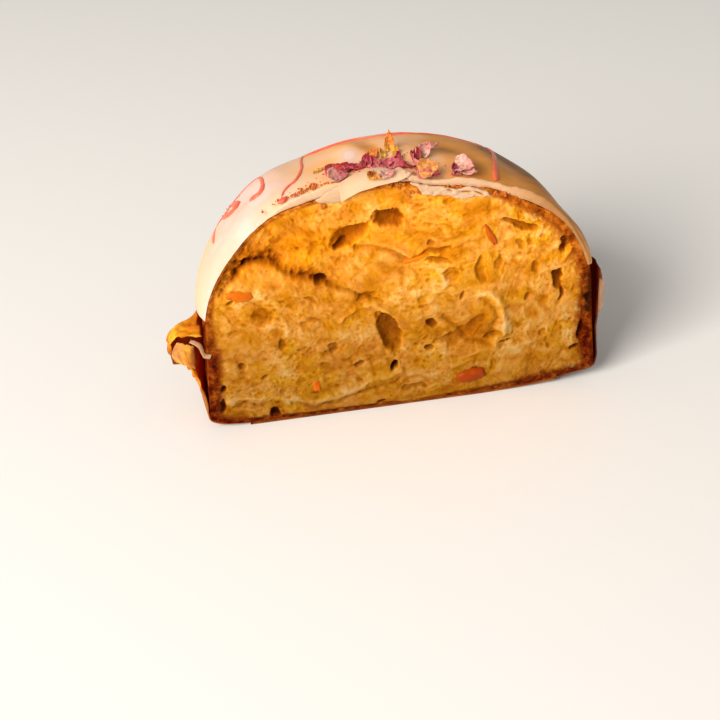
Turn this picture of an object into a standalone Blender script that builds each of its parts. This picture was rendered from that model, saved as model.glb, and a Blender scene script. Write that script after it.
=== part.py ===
"""Half of a glazed low sweet loaf with candied peel, standing in the cut half of its paper case.

The loaf is round. Its axis is the Z axis, and the origin lies on that axis, on the underside of the case.
The cut face looks towards -Y and lies a little in front of the axis, so the piece is slightly more than half.
"""

import math

import bmesh
import bpy
import numpy as np
from mathutils import Matrix, Vector

MM = 0.001

# The loaf, turned about Z
CUT_Y = -15 * MM
DOME_R = 94.2 * MM
DOME_FOOT = 55 * MM
LOAF_TOP = 120.5 * MM
DOME_R_POWER = 2.3
DOME_Z_POWER = 1.9
WALL_FOOT_R = 97.2 * MM
CORNER_W = 20 * MM
CORNER_H = 7 * MM
TURN_STEPS = 54
DOME_RINGS = 9

# The paper case
PAPER = 0.7 * MM
GAP = 0.3 * MM
BASE_DISC_T = 1.0 * MM
BASE_DISC_R = WALL_FOOT_R - CORNER_W + 4 * MM
CASE_WALL = 52 * MM
WALL_RUNS = (0, 10, 20, 29, 37, 43, 47, 49, 50.5, 52, 53.5, 55, 56.5, 58.5, 62, 68, 74)
LOAF_FLOOR = BASE_DISC_T + GAP

# The icing
ICING_TOP_T = 4.4 * MM
ICING_RIM_T = 2.4 * MM
ICING_RIM_Z = 64 * MM
DRIZZLE_R = 0.95 * MM
DRIZZLE_SUNK = 0.15 * MM

# The relief of the crumb
FACE_STEP = 3.6 * MM
KNIFE_REACH = 140 * MM
CRAG = 0.55 * MM

# Hollows in the cut face: x, z, half width, half height, tilt in degrees, depth, all lengths in millimetres
HOLLOWS = {
    "under_the_top": (-5.3, 103.2, 7.2, 4.6, -8, 8),
    "left_of_the_top": (-22.5, 96.5, 9.0, 5.2, 25, 9),
    "keyhole": (-7.5, 44.0, 6.4, 12.5, 6, 12),
    "keyhole_tip": (-4.9, 24.1, 2.4, 2.6, 0, 9),
    "right_slot": (76.2, 58.2, 2.7, 8.4, -6, 10),
    "peel_nook": (79.0, 77.0, 2.6, 5.0, -10, 8),
    "right_shoulder": (57.0, 94.5, 9.5, 2.7, -30, 6),
    "middle_dimple": (23.8, 69.6, 2.7, 5.5, 0, 4),
    "right_dimple": (38.1, 69.6, 2.8, 7.6, 3, 5),
    "small_middle": (14.5, 43.6, 2.8, 3.3, 30, 5),
    "small_low": (13.5, 30.6, 2.9, 3.3, 0, 4),
    "near_base": (-64.0, 6.8, 2.7, 3.0, 0, 6),
    "right_corner": (86.5, 20.2, 2.8, 1.9, 0, 5),
    "right_shallow": (37.0, 41.0, 7.5, 8.5, -20, 3.5),
    "left_low": (-58.8, 43.1, 2.4, 4.2, 0, 4),
    "left_middle": (-34.2, 37.5, 2.3, 3.8, 0, 4),
    "left_high": (-66.5, 59.5, 4.6, 5.0, 0, 2.5),
    "crust_slot": (88.3, 31.5, 2.0, 7.0, -2, 7),
    "heart_of_tear": (-38.4, 75.2, 3.0, 3.8, 0, 11),
}
# Lobes that stand forward of the cut: x, z, half width, half height, height, in millimetres
LOBES = {
    "below_the_tear": (-60, 76, 22, 9, 2.2),
    "swirl": (14, 66, 24, 15, 2.0),
    "upper_right": (28, 99, 26, 9, 1.2),
    "base_bulge": (-3, 5, 12, 4, 2.4),
}
# The tear from the left crust towards the middle, in millimetres, and how deep it is
TEAR = ((-84, 80), (-76, 88), (-66, 92), (-57, 88), (-51, 81.5), (-44, 79), (-38, 75), (-31, 72), (-24, 67))
TEAR_DEPTH = 12 * MM
TEAR_ROOF = 6 * MM
TEAR_LIP = 4.5 * MM

# Candied peel in the cut: x, z, half width, half height, tilt in degrees, in millimetres
PEEL = (
    (33.0, 11.6, 7.4, 3.4, 6),
    (82.4, 73.0, 2.2, 5.2, -16),
    (43.0, 91.0, 2.7, 6.8, 8),
    (-75.5, 72.4, 7.4, 3.7, -3),
    (-43.3, 17.2, 2.0, 3.9, 0),
    (8.0, 80.6, 9.2, 2.0, 12),
)
PEEL_HALF_DEPTH = 3.6 * MM
PEEL_PROUD = 1.5 * MM

# Drizzle lines on the icing as seen from above, in millimetres
DRIZZLE = (
    ((45, -15), (49, 0), (53, 15), (55, 30), (50, 42), (34, 43), (12, 36), (-8, 36), (-24, 36), (-35, 34), (-39, 17),
     (-43, 4), (-50, -6), (-52, -14)),
    ((-66, 3), (-60, 6), (-59, 18), (-60, 36), (-68, 41), (-76, 36), (-81, 26), (-84, 12)),
    ((76, 18), (70, 34), (58, 50), (30, 60), (-4, 62), (-34, 57), (-56, 50)),
    ((66, 52), (44, 72), (8, 82), (-30, 78), (-60, 62)),
)
DRIZZLE_SPACING = 8 * MM

# Dried petals on the icing: x, y, length, width, heading, pitch, roll, curl and lift, in millimetres and degrees
PETALS = (
    ("petal_crimson", -24.5, -2.4, 16.0, 7.5, 14, -5, 24, 1.3, 0.9),
    ("petal_blush_left", -31.0, -11.2, 11.0, 6.0, 4, 3, -14, 0.7, 0.9),
    ("petal_magenta", -10.0, -0.8, 11.0, 8.0, 50, -20, 20, 1.2, 0.9),
    ("petal_amber", -8.0, 9.0, 9.0, 7.0, 20, -14, 8, 0.9, 0.9),
    ("petal_mauve", 2.0, -5.8, 12.0, 6.5, -8, -10, -18, 1.0, 0.9),
    ("petal_orange_upright", 1.0, 9.5, 13.5, 8.5, 84, -50, 0, 1.0, 0.9),
    ("petal_gold", 8.0, 2.0, 7.0, 5.0, 60, -12, 0, 0.5, 0.9),
    ("petal_orange_front", -12.5, -13.4, 8.0, 7.0, 62, -4, 10, 0.7, 2.5),
    ("petal_pink_front", -3.0, -14.2, 9.0, 4.5, 6, -3, -8, 0.6, 2.5),
    ("petal_claret", 13.5, -9.0, 13.0, 10.0, 80, -16, 24, 1.4, 0.9),
    ("petal_rose_back", 20.5, 3.5, 14.0, 7.0, 34, -14, 14, 1.1, 0.9),
    ("petal_blush_right", 33.0, -8.5, 15.0, 11.0, -30, -3, 4, 0.9, 0.9),
)
PETAL_T = 0.5 * MM

# Two flakes of broken icing: one slumped over the cut edge, one stuck to the crumb below it
SLUMPED_X = (-26 * MM, 5 * MM)
SLUMPED_PROFILE = ((-8.5, 1.3), (-12.0, 1.3), (-15.4, 1.2), (-17.3, -0.9), (-17.8, -4.2), (-18.0, -7.0))
STUCK_ROUTE = ((8.5, 117.4), (15, 115.0), (22, 113.6), (29, 113.2), (36, 111.2), (41, 109.0))
FLAKE_T = 1.4 * MM


def clear_scene():
    for item in list(bpy.data.objects):
        bpy.data.objects.remove(item)


def named_collection(name, hidden=False):
    made = bpy.data.collections.new(name)
    bpy.context.scene.collection.children.link(made)
    made.hide_render = hidden
    return made


def finish_of(name, colour, roughness):
    """A Principled material with a plain colour."""
    made = bpy.data.materials.new(name)
    made.use_nodes = True
    shader = made.node_tree.nodes["Principled BSDF"]
    shader.inputs["Base Color"].default_value = (*colour, 1)
    shader.inputs["Roughness"].default_value = roughness
    return made


def add_object(name, mesh, collection, material=None):
    made = bpy.data.objects.new(name, mesh)
    collection.objects.link(made)
    if material:
        mesh.materials.clear()
        mesh.materials.append(material)
    return made


def move_to(item, collection):
    for home in item.users_collection:
        home.objects.unlink(item)
    collection.objects.link(item)


def mesh_from_bmesh(name, shape):
    made = bpy.data.meshes.new(name)
    shape.to_mesh(made)
    shape.free()
    return made


def applied_mesh(name, source, weld=0.0):
    """The evaluated mesh of an object as a new mesh in world space; the object is removed."""
    graph = bpy.context.evaluated_depsgraph_get()
    made = bpy.data.meshes.new_from_object(source.evaluated_get(graph))
    made.name = name
    made.transform(source.matrix_world)
    bpy.data.objects.remove(source)
    if weld:
        shape = bmesh.new()
        shape.from_mesh(made)
        bmesh.ops.remove_doubles(shape, verts=shape.verts, dist=weld)
        bmesh.ops.recalc_face_normals(shape, faces=shape.faces)
        shape.to_mesh(made)
        shape.free()
    return made


def move_points(mesh, mover):
    """Moves every vertex by a function of arrays x, y, z that returns arrays x, y, z."""
    points = np.empty(len(mesh.vertices) * 3, np.float32)
    mesh.vertices.foreach_get("co", points)
    points = points.reshape(-1, 3).astype(float)
    moved = np.column_stack(mover(*points.T)).astype(np.float32)
    mesh.vertices.foreach_set("co", moved.ravel())
    mesh.update()


def swell(x, y, z):
    """The handmade loaf's departure from round: lobes in plan, a higher left shoulder and a base corner that curls up."""
    turn = np.arctan2(y, x)
    share = np.clip(z / LOAF_TOP, 0, 1)
    lobes = 0.006 * np.sin(2 * turn + 0.5) + 0.005 * np.sin(3 * turn - 1.2 + 2 * share)
    grow = 1 + lobes * np.sin(math.pi * np.clip(share, 0, 1)) ** 0.7
    near_cut = np.exp(-(((y - CUT_Y) / (55 * MM)) ** 2))
    left = np.exp(-(((x + 60 * MM) / (16 * MM)) ** 2))
    right = np.exp(-(((x - 60 * MM) / (16 * MM)) ** 2))
    crown = np.exp(-(((x - 24 * MM) / (17 * MM)) ** 2) - ((y - CUT_Y) / (20 * MM)) ** 2)
    rise = (2.6 * MM * left - 3.0 * MM * right) * near_cut - 2.4 * MM * crown
    above = np.clip((z - 70 * MM) / (30 * MM), 0, 1)
    corner = np.clip((x - 35 * MM) / (50 * MM), 0, 1) ** 1.7 * np.clip(1 - z / (24 * MM), 0, 1)
    return x * grow, y * grow, z + rise * above + 3.6 * MM * corner * near_cut


def dome_curve(steps, grow=0.0, start=math.pi / 2, end=0.0):
    """Radius and height along the dome from the top down, grown outwards by a thickness at the top."""
    turn = np.linspace(start, end, steps + 1)
    radius = (DOME_R + grow) * np.cos(turn).clip(0) ** (2 / DOME_R_POWER)
    height = DOME_FOOT + (LOAF_TOP - DOME_FOOT + grow) * np.sin(turn).clip(0) ** (2 / DOME_Z_POWER)
    return np.column_stack([radius, height])


def rim_turn():
    """Where the icing's rim lies along the dome, as the parameter of dome_curve."""
    return math.asin(((ICING_RIM_Z - DOME_FOOT) / (LOAF_TOP - DOME_FOOT)) ** (DOME_Z_POWER / 2))


def dome_height(radius):
    """Height of the dome above a point at this distance from the axis."""
    share = np.clip(radius / DOME_R, 0, 1) ** DOME_R_POWER
    return DOME_FOOT + (LOAF_TOP - DOME_FOOT) * (1 - share) ** (1 / DOME_Z_POWER)


def wall_radius(z, out=0.0):
    """Radius of the loaf's side between the base corner and the dome's foot."""
    share = np.clip((z - CORNER_H) / (DOME_FOOT - CORNER_H), 0, 1)
    return WALL_FOOT_R + (DOME_R - WALL_FOOT_R) * share + out


def corner_curve(steps, out=0.0, floor=0.0):
    """The rounded base corner from the wall down to the flat underside, as an elliptical quarter."""
    turn = np.linspace(0, math.pi / 2, steps + 1)
    radius = WALL_FOOT_R - CORNER_W + (CORNER_W + out) * np.cos(turn)
    height = CORNER_H - (CORNER_H - floor) * np.sin(turn)
    return np.column_stack([radius, height])


def turned(name, profile, collection):
    """A profile of radius and height, turned a full circle about Z with a Screw modifier."""
    shape = bmesh.new()
    corners = [shape.verts.new((max(r, 0.0), 0, z)) for r, z in profile]
    for a, b in zip(corners, corners[1:]):
        shape.edges.new((a, b))
    made = add_object(name, mesh_from_bmesh(name, shape), collection)
    spin = made.modifiers.new("turn", "SCREW")
    spin.angle = math.tau
    spin.steps = TURN_STEPS
    spin.render_steps = TURN_STEPS
    spin.use_merge_vertices = True
    spin.merge_threshold = 0.00005
    spin.use_smooth_shade = True
    return made


def distance_to_line(x, z, line):
    """Signed distance to a polyline, positive above it, and the share of the way along it."""
    best = np.full(x.shape, 1e9)
    side = np.zeros(x.shape)
    along = np.zeros(x.shape)
    for i in range(len(line) - 1):
        a, b = line[i], line[i + 1]
        step = b - a
        share = np.clip(((x - a[0]) * step[0] + (z - a[1]) * step[1]) / (step @ step), 0, 1)
        dx, dz = x - a[0] - share * step[0], z - a[1] - share * step[1]
        gap = np.hypot(dx, dz)
        nearer = gap < best
        best = np.where(nearer, gap, best)
        side = np.where(nearer, np.sign(step[0] * dz - step[1] * dx), side)
        along = np.where(nearer, (i + share) / (len(line) - 1), along)
    return best * side, along


def crumb_depth(x, z):
    """How far the torn crumb lies behind the flat of the cut, in metres: the sum of hollows, lobes, the tear and crags."""
    depth = np.zeros(x.shape)
    for cx, cz, half_w, half_h, tilt, deep in HOLLOWS.values():
        c, s = math.cos(math.radians(tilt)), math.sin(math.radians(tilt))
        dx, dz = x - cx * MM, z - cz * MM
        across = (c * dx + s * dz) / (half_w * MM)
        up = (-s * dx + c * dz) / (half_h * MM)
        bowl = np.clip(1.25 - across**2 - up**2, 0, 1) ** 0.6
        depth = np.maximum(depth, deep * MM * bowl)
    for cx, cz, half_w, half_h, proud in LOBES.values():
        reach = ((x - cx * MM) / (half_w * MM)) ** 2 + ((z - cz * MM) / (half_h * MM)) ** 2
        depth = depth - proud * MM * np.exp(-reach)
    gap, along = distance_to_line(x, z, np.array(TEAR) * MM)
    fade = np.clip((1 - along) * 4, 0, 1)
    roof = np.exp(-np.clip(gap, 0, None) / TEAR_ROOF)
    lip = np.exp(-((np.clip(gap, None, 0) / TEAR_LIP) ** 2))
    depth = np.maximum(depth, TEAR_DEPTH * fade * roof * lip)
    wave = np.sin(x / (4.1 * MM) + 1.7 * np.sin(z / (6.3 * MM))) * np.cos(z / (4.7 * MM) + 1.3 * np.sin(x / (7.9 * MM)))
    return depth + CRAG * wave


def crumb_knife(collection):
    """A solid in front of the loaf whose back is the torn face: taken away from the loaf, it leaves that relief."""
    width, height = 220 * MM, 140 * MM
    shape = bmesh.new()
    bmesh.ops.create_grid(
        shape, x_segments=round(width / FACE_STEP), y_segments=round(height / FACE_STEP), size=0.5
    )
    bmesh.ops.scale(shape, vec=(width, height, 1), verts=shape.verts)
    stand = Matrix.Translation((0, 0, height / 2 - 8 * MM)) @ Matrix.Rotation(math.pi / 2, 4, "X")
    bmesh.ops.transform(shape, matrix=stand, verts=shape.verts)
    back = list(shape.verts)
    front = bmesh.ops.extrude_face_region(shape, geom=shape.faces[:])["geom"]
    for item in front:
        if isinstance(item, bmesh.types.BMVert):
            item.co.y = -KNIFE_REACH
    x, z = (np.array([v.co[i] for v in back]) for i in (0, 2))
    for corner, deep in zip(back, crumb_depth(x, z)):
        corner.co.y = CUT_Y + deep
    bmesh.ops.recalc_face_normals(shape, faces=shape.faces)
    made = add_object("crumb_knife", mesh_from_bmesh("crumb_knife", shape), collection)
    made.display_type = "WIRE"
    return made


def flat_knife(collection):
    """A box in front of the cut plane, wide enough for the case and the icing."""
    bpy.ops.mesh.primitive_cube_add(size=1)
    made = bpy.context.object
    made.name = "flat_knife"
    made.scale = (0.3, KNIFE_REACH, 0.3)
    made.location = (0, CUT_Y - KNIFE_REACH / 2, 0.06)
    bpy.ops.object.transform_apply(location=True, rotation=True, scale=True)
    move_to(made, collection)
    made.display_type = "WIRE"
    return made


def take_away(target, cutter, label):
    cut = target.modifiers.new(label, "BOOLEAN")
    cut.operation = "DIFFERENCE"
    cut.solver = "EXACT"
    cut.object = cutter


def peel_lump(name, spec, grow, collection, material=None):
    """A rounded, slightly square lump of candied peel, set into the cut face."""
    cx, cz, half_w, half_h, tilt = spec
    bpy.ops.mesh.primitive_ico_sphere_add(subdivisions=2, radius=1)
    made = bpy.context.object
    made.name = name
    points = np.array([v.co for v in made.data.vertices])
    square = points / np.abs(points).max(axis=1, keepdims=True) ** 0.45
    half = np.array([half_w * MM + grow, PEEL_HALF_DEPTH + grow, half_h * MM + grow])
    made.data.vertices.foreach_set("co", (square * half * 1.05).astype(np.float32).ravel())
    surface = CUT_Y + float(crumb_depth(np.array([cx * MM]), np.array([cz * MM]))[0])
    place = Vector((cx * MM, surface + PEEL_HALF_DEPTH - PEEL_PROUD, cz * MM))
    made.data.transform(Matrix.Translation(place) @ Matrix.Rotation(math.radians(-tilt), 4, "Y"))
    move_to(made, collection)
    if material:
        made.data.materials.append(material)
    return made


def make_loaf(parts, cutters, material):
    """The crumb and crust in one solid: a turned loaf, swollen unevenly, with the torn face and peel pockets cut in."""
    flat = [(0, LOAF_FLOOR)]
    wall = [(wall_radius(z), z) for z in np.linspace(DOME_FOOT, CORNER_H, 4)[1:-1]]
    upper, lower = dome_curve(DOME_RINGS, end=rim_turn()), dome_curve(3, start=rim_turn())[1:]
    profile = [*upper, *lower, *wall, *corner_curve(4, floor=LOAF_FLOOR), *flat]
    mesh = applied_mesh("loaf", turned("loaf_round", profile, cutters))
    move_points(mesh, swell)
    loaf = add_object("loaf", mesh, parts, material)
    take_away(loaf, crumb_knife(cutters), "torn face")
    for i, spec in enumerate(PEEL):
        pocket = peel_lump(f"peel_pocket_{i + 1}", spec, GAP, cutters)
        pocket.display_type = "WIRE"
        take_away(loaf, pocket, f"pocket {i + 1}")
    return loaf


def make_peel(parts, material):
    return [peel_lump(f"candied_peel_{i + 1}", spec, 0.0, parts, material) for i, spec in enumerate(PEEL)]


def icing_outside():
    """The icing's outer side as radius and height, from the top down: thick on top and thinner to the rim."""
    outer = dome_curve(DOME_RINGS + 2, GAP, end=rim_turn())
    share = np.linspace(0, 1, DOME_RINGS + 3) ** 2.2
    thick = ICING_TOP_T + (ICING_RIM_T - ICING_TOP_T) * share
    step = np.gradient(outer, axis=0)
    normal = np.column_stack([-step[:, 1], step[:, 0]])
    normal /= np.linalg.norm(normal, axis=1, keepdims=True)
    outer = outer + normal * thick[:, None]
    outer[0, 0] = 0.0
    return outer


def icing_height(radius):
    """Height of the icing's outer side above a point at this distance from the axis."""
    outer = icing_outside()
    return np.interp(radius, outer[:, 0], outer[:, 1])


def icing_lumps(x, y):
    """Low rolling lumps of the poured icing, fading out towards the rim."""
    roll = np.sin(x / (9 * MM) + 1.3 * np.sin(y / (13 * MM))) + 0.8 * np.sin(y / (7.5 * MM) + x / (17 * MM))
    fade = np.clip((88 * MM - np.hypot(x, y)) / (20 * MM), 0, 1)
    dip = np.exp(-(((x + 38 * MM) / (16 * MM)) ** 2) - ((y - 30 * MM) / (24 * MM)) ** 2)
    thin = np.exp(-(((x - 30 * MM) / (28 * MM)) ** 2) - ((y - CUT_Y) / (11 * MM)) ** 2)
    return MM * (0.45 * roll * fade - 1.5 * dip - 1.8 * thin)


def icing_top(x, y):
    """Height of the icing's outer side at a point in plan."""
    return swell(x, y, icing_height(np.hypot(x, y)) + icing_lumps(x, y))[2]


def icing_profile():
    """Down the icing's outer side, round its rim and back up its inner side."""
    inner = dome_curve(DOME_RINGS, GAP, end=rim_turn())
    outer = icing_outside()
    middle = (outer[-1] + inner[-1]) / 2 + np.array([0, -0.9 * MM])
    return [*outer, middle, *inner[::-1]]


def dome_radius(z):
    """Radius of the dome at a height."""
    share = np.clip((z - DOME_FOOT) / (LOAF_TOP - DOME_FOOT), 0, 1)
    return DOME_R * (1 - share**DOME_Z_POWER) ** (1 / DOME_R_POWER)


def icing_drape(x, y, z):
    """The icing follows the swollen loaf; its rim slides up and down along the dome round the loaf."""
    turn = np.arctan2(y, x)
    low = np.clip((78 * MM - z) / (14 * MM), 0, 1)
    slide = low * (2.0 * np.cos(turn) + 0.6 * np.sin(5 * turn + 0.8) + 0.5 * np.sin(11 * turn - 0.4)) * MM
    follow = 1 + (dome_radius(z + slide) - dome_radius(z)) / np.hypot(x, y).clip(1 * MM)
    outside = z > dome_height(np.hypot(x, y)) + 1 * MM
    return swell(x * follow, y * follow, z + slide + icing_lumps(x, y) * outside)


def drizzle_line(name, route, collection):
    """One line of drizzle: a smooth curve through its plan points, laid half sunk on the icing, as a tube."""
    plan = np.array(route, float) * MM
    knots = np.concatenate([[0], np.cumsum(np.linalg.norm(np.diff(plan, axis=0), axis=1))])
    count = max(4, round(knots[-1] / DRIZZLE_SPACING))
    fine = np.linspace(0, knots[-1], 4 * count)
    flat = np.column_stack([np.interp(fine, knots, plan[:, i]) for i in (0, 1)])
    ease = np.ones(7) / 7
    padded = np.pad(flat, ((3, 3), (0, 0)), mode="edge")
    flat = np.column_stack([np.convolve(padded[:, i], ease, "valid") for i in (0, 1)])[::4]
    radius = np.hypot(flat[:, 0], flat[:, 1])
    height = icing_height(radius) + icing_lumps(*flat.T) - DRIZZLE_SUNK
    x, y, z = swell(flat[:, 0], flat[:, 1], height)
    curve = bpy.data.curves.new(name, "CURVE")
    curve.dimensions = "3D"
    curve.bevel_depth = DRIZZLE_R
    curve.bevel_resolution = 1
    curve.use_fill_caps = True
    spline = curve.splines.new("POLY")
    spline.points.add(len(x) - 1)
    spline.points.foreach_set("co", np.column_stack([x, y, z, np.ones(len(x))]).astype(np.float32).ravel())
    tube = bpy.data.objects.new(name, curve)
    bpy.context.scene.collection.objects.link(tube)
    bpy.context.view_layer.update()
    return add_object(name, applied_mesh(name, tube, weld=0.00002), collection)


def make_icing(parts, cutters, knife, material):
    """The icing over the dome, with the thick drizzle fused to it, cut flush with the loaf."""
    mesh = applied_mesh("icing", turned("icing_round", icing_profile(), cutters), weld=0.00002)
    move_points(mesh, icing_drape)
    icing = add_object("icing", mesh, parts, material)
    lines = named_collection("drizzle")
    for i, route in enumerate(DRIZZLE):
        drizzle_line(f"drizzle_{i + 1}", route, lines)
    join = icing.modifiers.new("drizzle", "BOOLEAN")
    join.operation = "UNION"
    join.solver = "EXACT"
    join.operand_type = "COLLECTION"
    join.collection = lines
    take_away(icing, knife, "cut")
    bpy.context.view_layer.update()
    fused = applied_mesh("icing", icing, weld=0.00001)
    for line in list(lines.objects):
        bpy.data.objects.remove(line)
    bpy.data.collections.remove(lines)
    return add_object("icing", fused, parts, material)


def paper_lean(turn):
    """Shares from 0 to 1 of how far the paper has come away: at the left end of the cut, and at the right end."""
    left = np.clip((math.degrees(turn) - 172) / 17, 0, 1)
    right = np.clip((20 - math.degrees(turn)) / 29, 0, 1)
    return float(left) ** 1.3, float(right) ** 1.5


def make_case(parts, knife, material):
    """The half of the paper case: its wall is a profile of given length that leans, and folds over at the left end."""
    turns = np.radians([*np.linspace(-14, 152, 19), *np.linspace(155, 165, 4), *np.linspace(167, 194, 15)])
    corner = corner_curve(4, GAP + PAPER / 2 + 0.1 * MM, BASE_DISC_T / 2)[::-1]
    corner = np.vstack([corner[0] - np.array([9 * MM, 0]), corner])
    taper = math.atan((WALL_FOOT_R - DOME_R) / (DOME_FOOT - CORNER_H))
    shape = bmesh.new()
    grid = []
    for turn in turns:
        left, right = paper_lean(turn)
        runs = np.array(WALL_RUNS) / WALL_RUNS[-1] * CASE_WALL * (1 + 0.38 * left**2)
        radius, z = corner[-1]
        line = [tuple(p) for p in corner]
        for step, middle in zip(np.diff(runs), (runs[1:] + runs[:-1]) / 2):
            run = middle / MM
            lean = -taper + 0.28 * left * math.exp(-(((run - 26) / 17) ** 2))
            lean += 0.28 * right * math.sin(math.pi * min(max(run - 5, 0) / 36, 1))
            lean += left**0.8 * 2.75 * min(max((run - 48) / 11, 0), 1)
            radius += step * math.sin(lean)
            z += step * math.cos(lean)
            line.append((radius, z))
        c, s = math.cos(turn), math.sin(turn)
        grid.append([shape.verts.new((r * c, r * s, h)) for r, h in line])
    for a, b in zip(grid, grid[1:]):
        for i in range(len(a) - 1):
            shape.faces.new((a[i], b[i], b[i + 1], a[i + 1]))
    bmesh.ops.triangulate(shape, faces=shape.faces)
    mesh = mesh_from_bmesh("paper_case", shape)
    move_points(mesh, lambda x, y, z: swell(x, y, z))
    wall = add_object("case_wall", mesh, parts)
    shell = wall.modifiers.new("paper", "SOLIDIFY")
    shell.thickness = PAPER
    shell.offset = 0
    bpy.context.view_layer.update()
    case = add_object("paper_case", applied_mesh("paper_case", wall, weld=0.00001), parts, material)
    bpy.ops.mesh.primitive_cylinder_add(
        vertices=TURN_STEPS, radius=BASE_DISC_R, depth=BASE_DISC_T, location=(0, 0, BASE_DISC_T / 2)
    )
    disc = bpy.context.object
    disc.name = "case_base_disc"
    fill = bmesh.new()
    fill.from_mesh(disc.data)
    caps = [face for face in fill.faces if len(face.verts) > 4]
    bmesh.ops.poke(fill, faces=caps)
    spokes = [edge for edge in fill.edges if abs(edge.calc_length() - BASE_DISC_R) < 1 * MM]
    bmesh.ops.subdivide_edges(fill, edges=spokes, cuts=1)
    bmesh.ops.triangulate(fill, faces=fill.faces)
    fill.to_mesh(disc.data)
    fill.free()
    disc.data.transform(Matrix.Translation(disc.location))
    disc.location = (0, 0, 0)
    move_points(disc.data, lambda x, y, z: swell(x, y, z))
    join = case.modifiers.new("base", "BOOLEAN")
    join.operation = "UNION"
    join.solver = "EXACT"
    join.object = disc
    take_away(case, knife, "cut")
    bpy.context.view_layer.update()
    fused = applied_mesh("paper_case", case, weld=0.00001)
    bpy.data.objects.remove(disc)
    return add_object("paper_case", fused, parts, material)


def make_petal(spec, parts, material):
    """A dried petal: a cupped, wavy leaf outline on a small grid, both faces split alike, then thickened."""
    name, px, py, length, width, heading, pitch, roll, curl, lift = spec
    u, v = np.meshgrid(np.linspace(-1, 1, 6), np.linspace(-1, 1, 5), indexing="ij")
    outline = np.sqrt(np.clip(1.06 - u**2 * 0.78, 0.02, 1)) * (1 - 0.22 * u)
    x = 0.5 * length * MM * u
    y = 0.5 * width * MM * v * outline
    z = curl * MM * (1.1 * v**2 + 0.5 * u**2 + 0.35 * np.sin(3 * u + 2 * v))
    shape = bmesh.new()
    corners = [[shape.verts.new(p) for p in zip(*row)] for row in zip(x, y, z)]
    for a, b in zip(corners, corners[1:]):
        for i in range(len(a) - 1):
            shape.faces.new((a[i], b[i], b[i + 1], a[i + 1]))
    bmesh.ops.triangulate(shape, faces=shape.faces)
    mesh = mesh_from_bmesh(name, shape)
    turn = Matrix.Rotation(math.radians(heading), 4, "Z")
    turn = turn @ Matrix.Rotation(math.radians(pitch), 4, "Y") @ Matrix.Rotation(math.radians(roll), 4, "X")
    mesh.transform(turn)
    points = np.array([v.co for v in mesh.vertices])
    ground = icing_top(points[:, 0] + px * MM, points[:, 1] + py * MM)
    drop = (points[:, 2] - ground).min()
    mesh.transform(Matrix.Translation((px * MM, py * MM, lift * MM - drop)))
    made = add_object(name, mesh, parts, material)
    leaf = made.modifiers.new("leaf", "SOLIDIFY")
    leaf.thickness = PETAL_T
    leaf.offset = 0
    return made


def make_flake(name, rows, parts, material):
    """A flake of icing: a grid of points, both faces split alike, then thickened."""
    shape = bmesh.new()
    corners = [[shape.verts.new(p) for p in row] for row in rows]
    for a, b in zip(corners, corners[1:]):
        for i in range(len(a) - 1):
            shape.faces.new((a[i], b[i], b[i + 1], a[i + 1]))
    bmesh.ops.triangulate(shape, faces=shape.faces)
    made = add_object(name, mesh_from_bmesh(name, shape), parts, material)
    slab = made.modifiers.new("slab", "SOLIDIFY")
    slab.thickness = FLAKE_T
    slab.offset = 0
    return made


def make_flakes(parts, material):
    rows = []
    for share in np.linspace(0, 1, 11):
        x = SLUMPED_X[0] + share * (SLUMPED_X[1] - SLUMPED_X[0])
        reach = max(math.sin(math.pi * share**0.8) ** 0.7, 0.15)
        row = []
        for y_mm, z_mm in SLUMPED_PROFILE:
            y = CUT_Y + (y_mm * MM - CUT_Y) * (reach if y_mm * MM > CUT_Y else 1)
            top = float(icing_top(np.array([x]), np.array([max(y, CUT_Y)]))[0])
            row.append((x, y, top + z_mm * MM * (1 - 0.65 * share if z_mm < 0 else 1)))
        rows.append(row)
    make_flake("icing_flake_slumped", rows, parts, material)
    rows = []
    for i, (x, z) in enumerate(STUCK_ROUTE):
        half = (1.1 + 0.6 * math.sin(i * 1.9) ** 2) * MM
        front = CUT_Y - 1.3 * MM - 0.3 * MM * math.cos(i * 2.3)
        rows.append([(x * MM + 0.3 * t * MM, front - 0.3 * MM * (1 - t * t), z * MM + t * half) for t in (-1, 0, 1)])
    make_flake("icing_flake_stuck", rows, parts, material)


def petal_finish(name):
    colours = {"orange": (0.85, 0.3, 0.05), "apricot": (0.85, 0.4, 0.12), "amber": (0.8, 0.42, 0.08), "gold": (0.8, 0.5, 0.06)}
    for word, colour in colours.items():
        if word in name:
            return finish_of("petal_" + word, colour, 0.7)
    pale = "blush" in name or "pink" in name
    return finish_of(name, (0.75, 0.35, 0.38) if pale else (0.38, 0.04, 0.13), 0.7)


def main():
    clear_scene()
    parts = named_collection("half_glazed_loaf")
    cutters = named_collection("cutters", hidden=True)
    knife = flat_knife(cutters)
    make_loaf(parts, cutters, finish_of("crumb", (0.78, 0.5, 0.16), 0.85))
    make_peel(parts, finish_of("candied_peel", (0.8, 0.24, 0.03), 0.35))
    glaze = finish_of("icing", (0.85, 0.72, 0.52), 0.35)
    make_icing(parts, cutters, knife, glaze)
    make_flakes(parts, glaze)
    make_case(parts, knife, finish_of("brown_paper", (0.3, 0.12, 0.04), 0.7))
    for spec in PETALS:
        make_petal(spec, parts, petal_finish(spec[0]))
    for item in parts.objects:
        item.data.shade_smooth()
        item.data.set_sharp_from_angle(angle=math.radians(40))
    for item in cutters.objects:
        item.hide_render = True
        item.hide_viewport = False


main()
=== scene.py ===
"""Half of a glazed sweet loaf in its paper case, on a pale table in soft light from the left.

All shapes are worked out in millimetres. The loaf's axis is Z, and the cut face looks towards -Y.
"""

import math

import bmesh
import bpy
import numpy as np
from mathutils import Matrix, Vector

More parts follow.
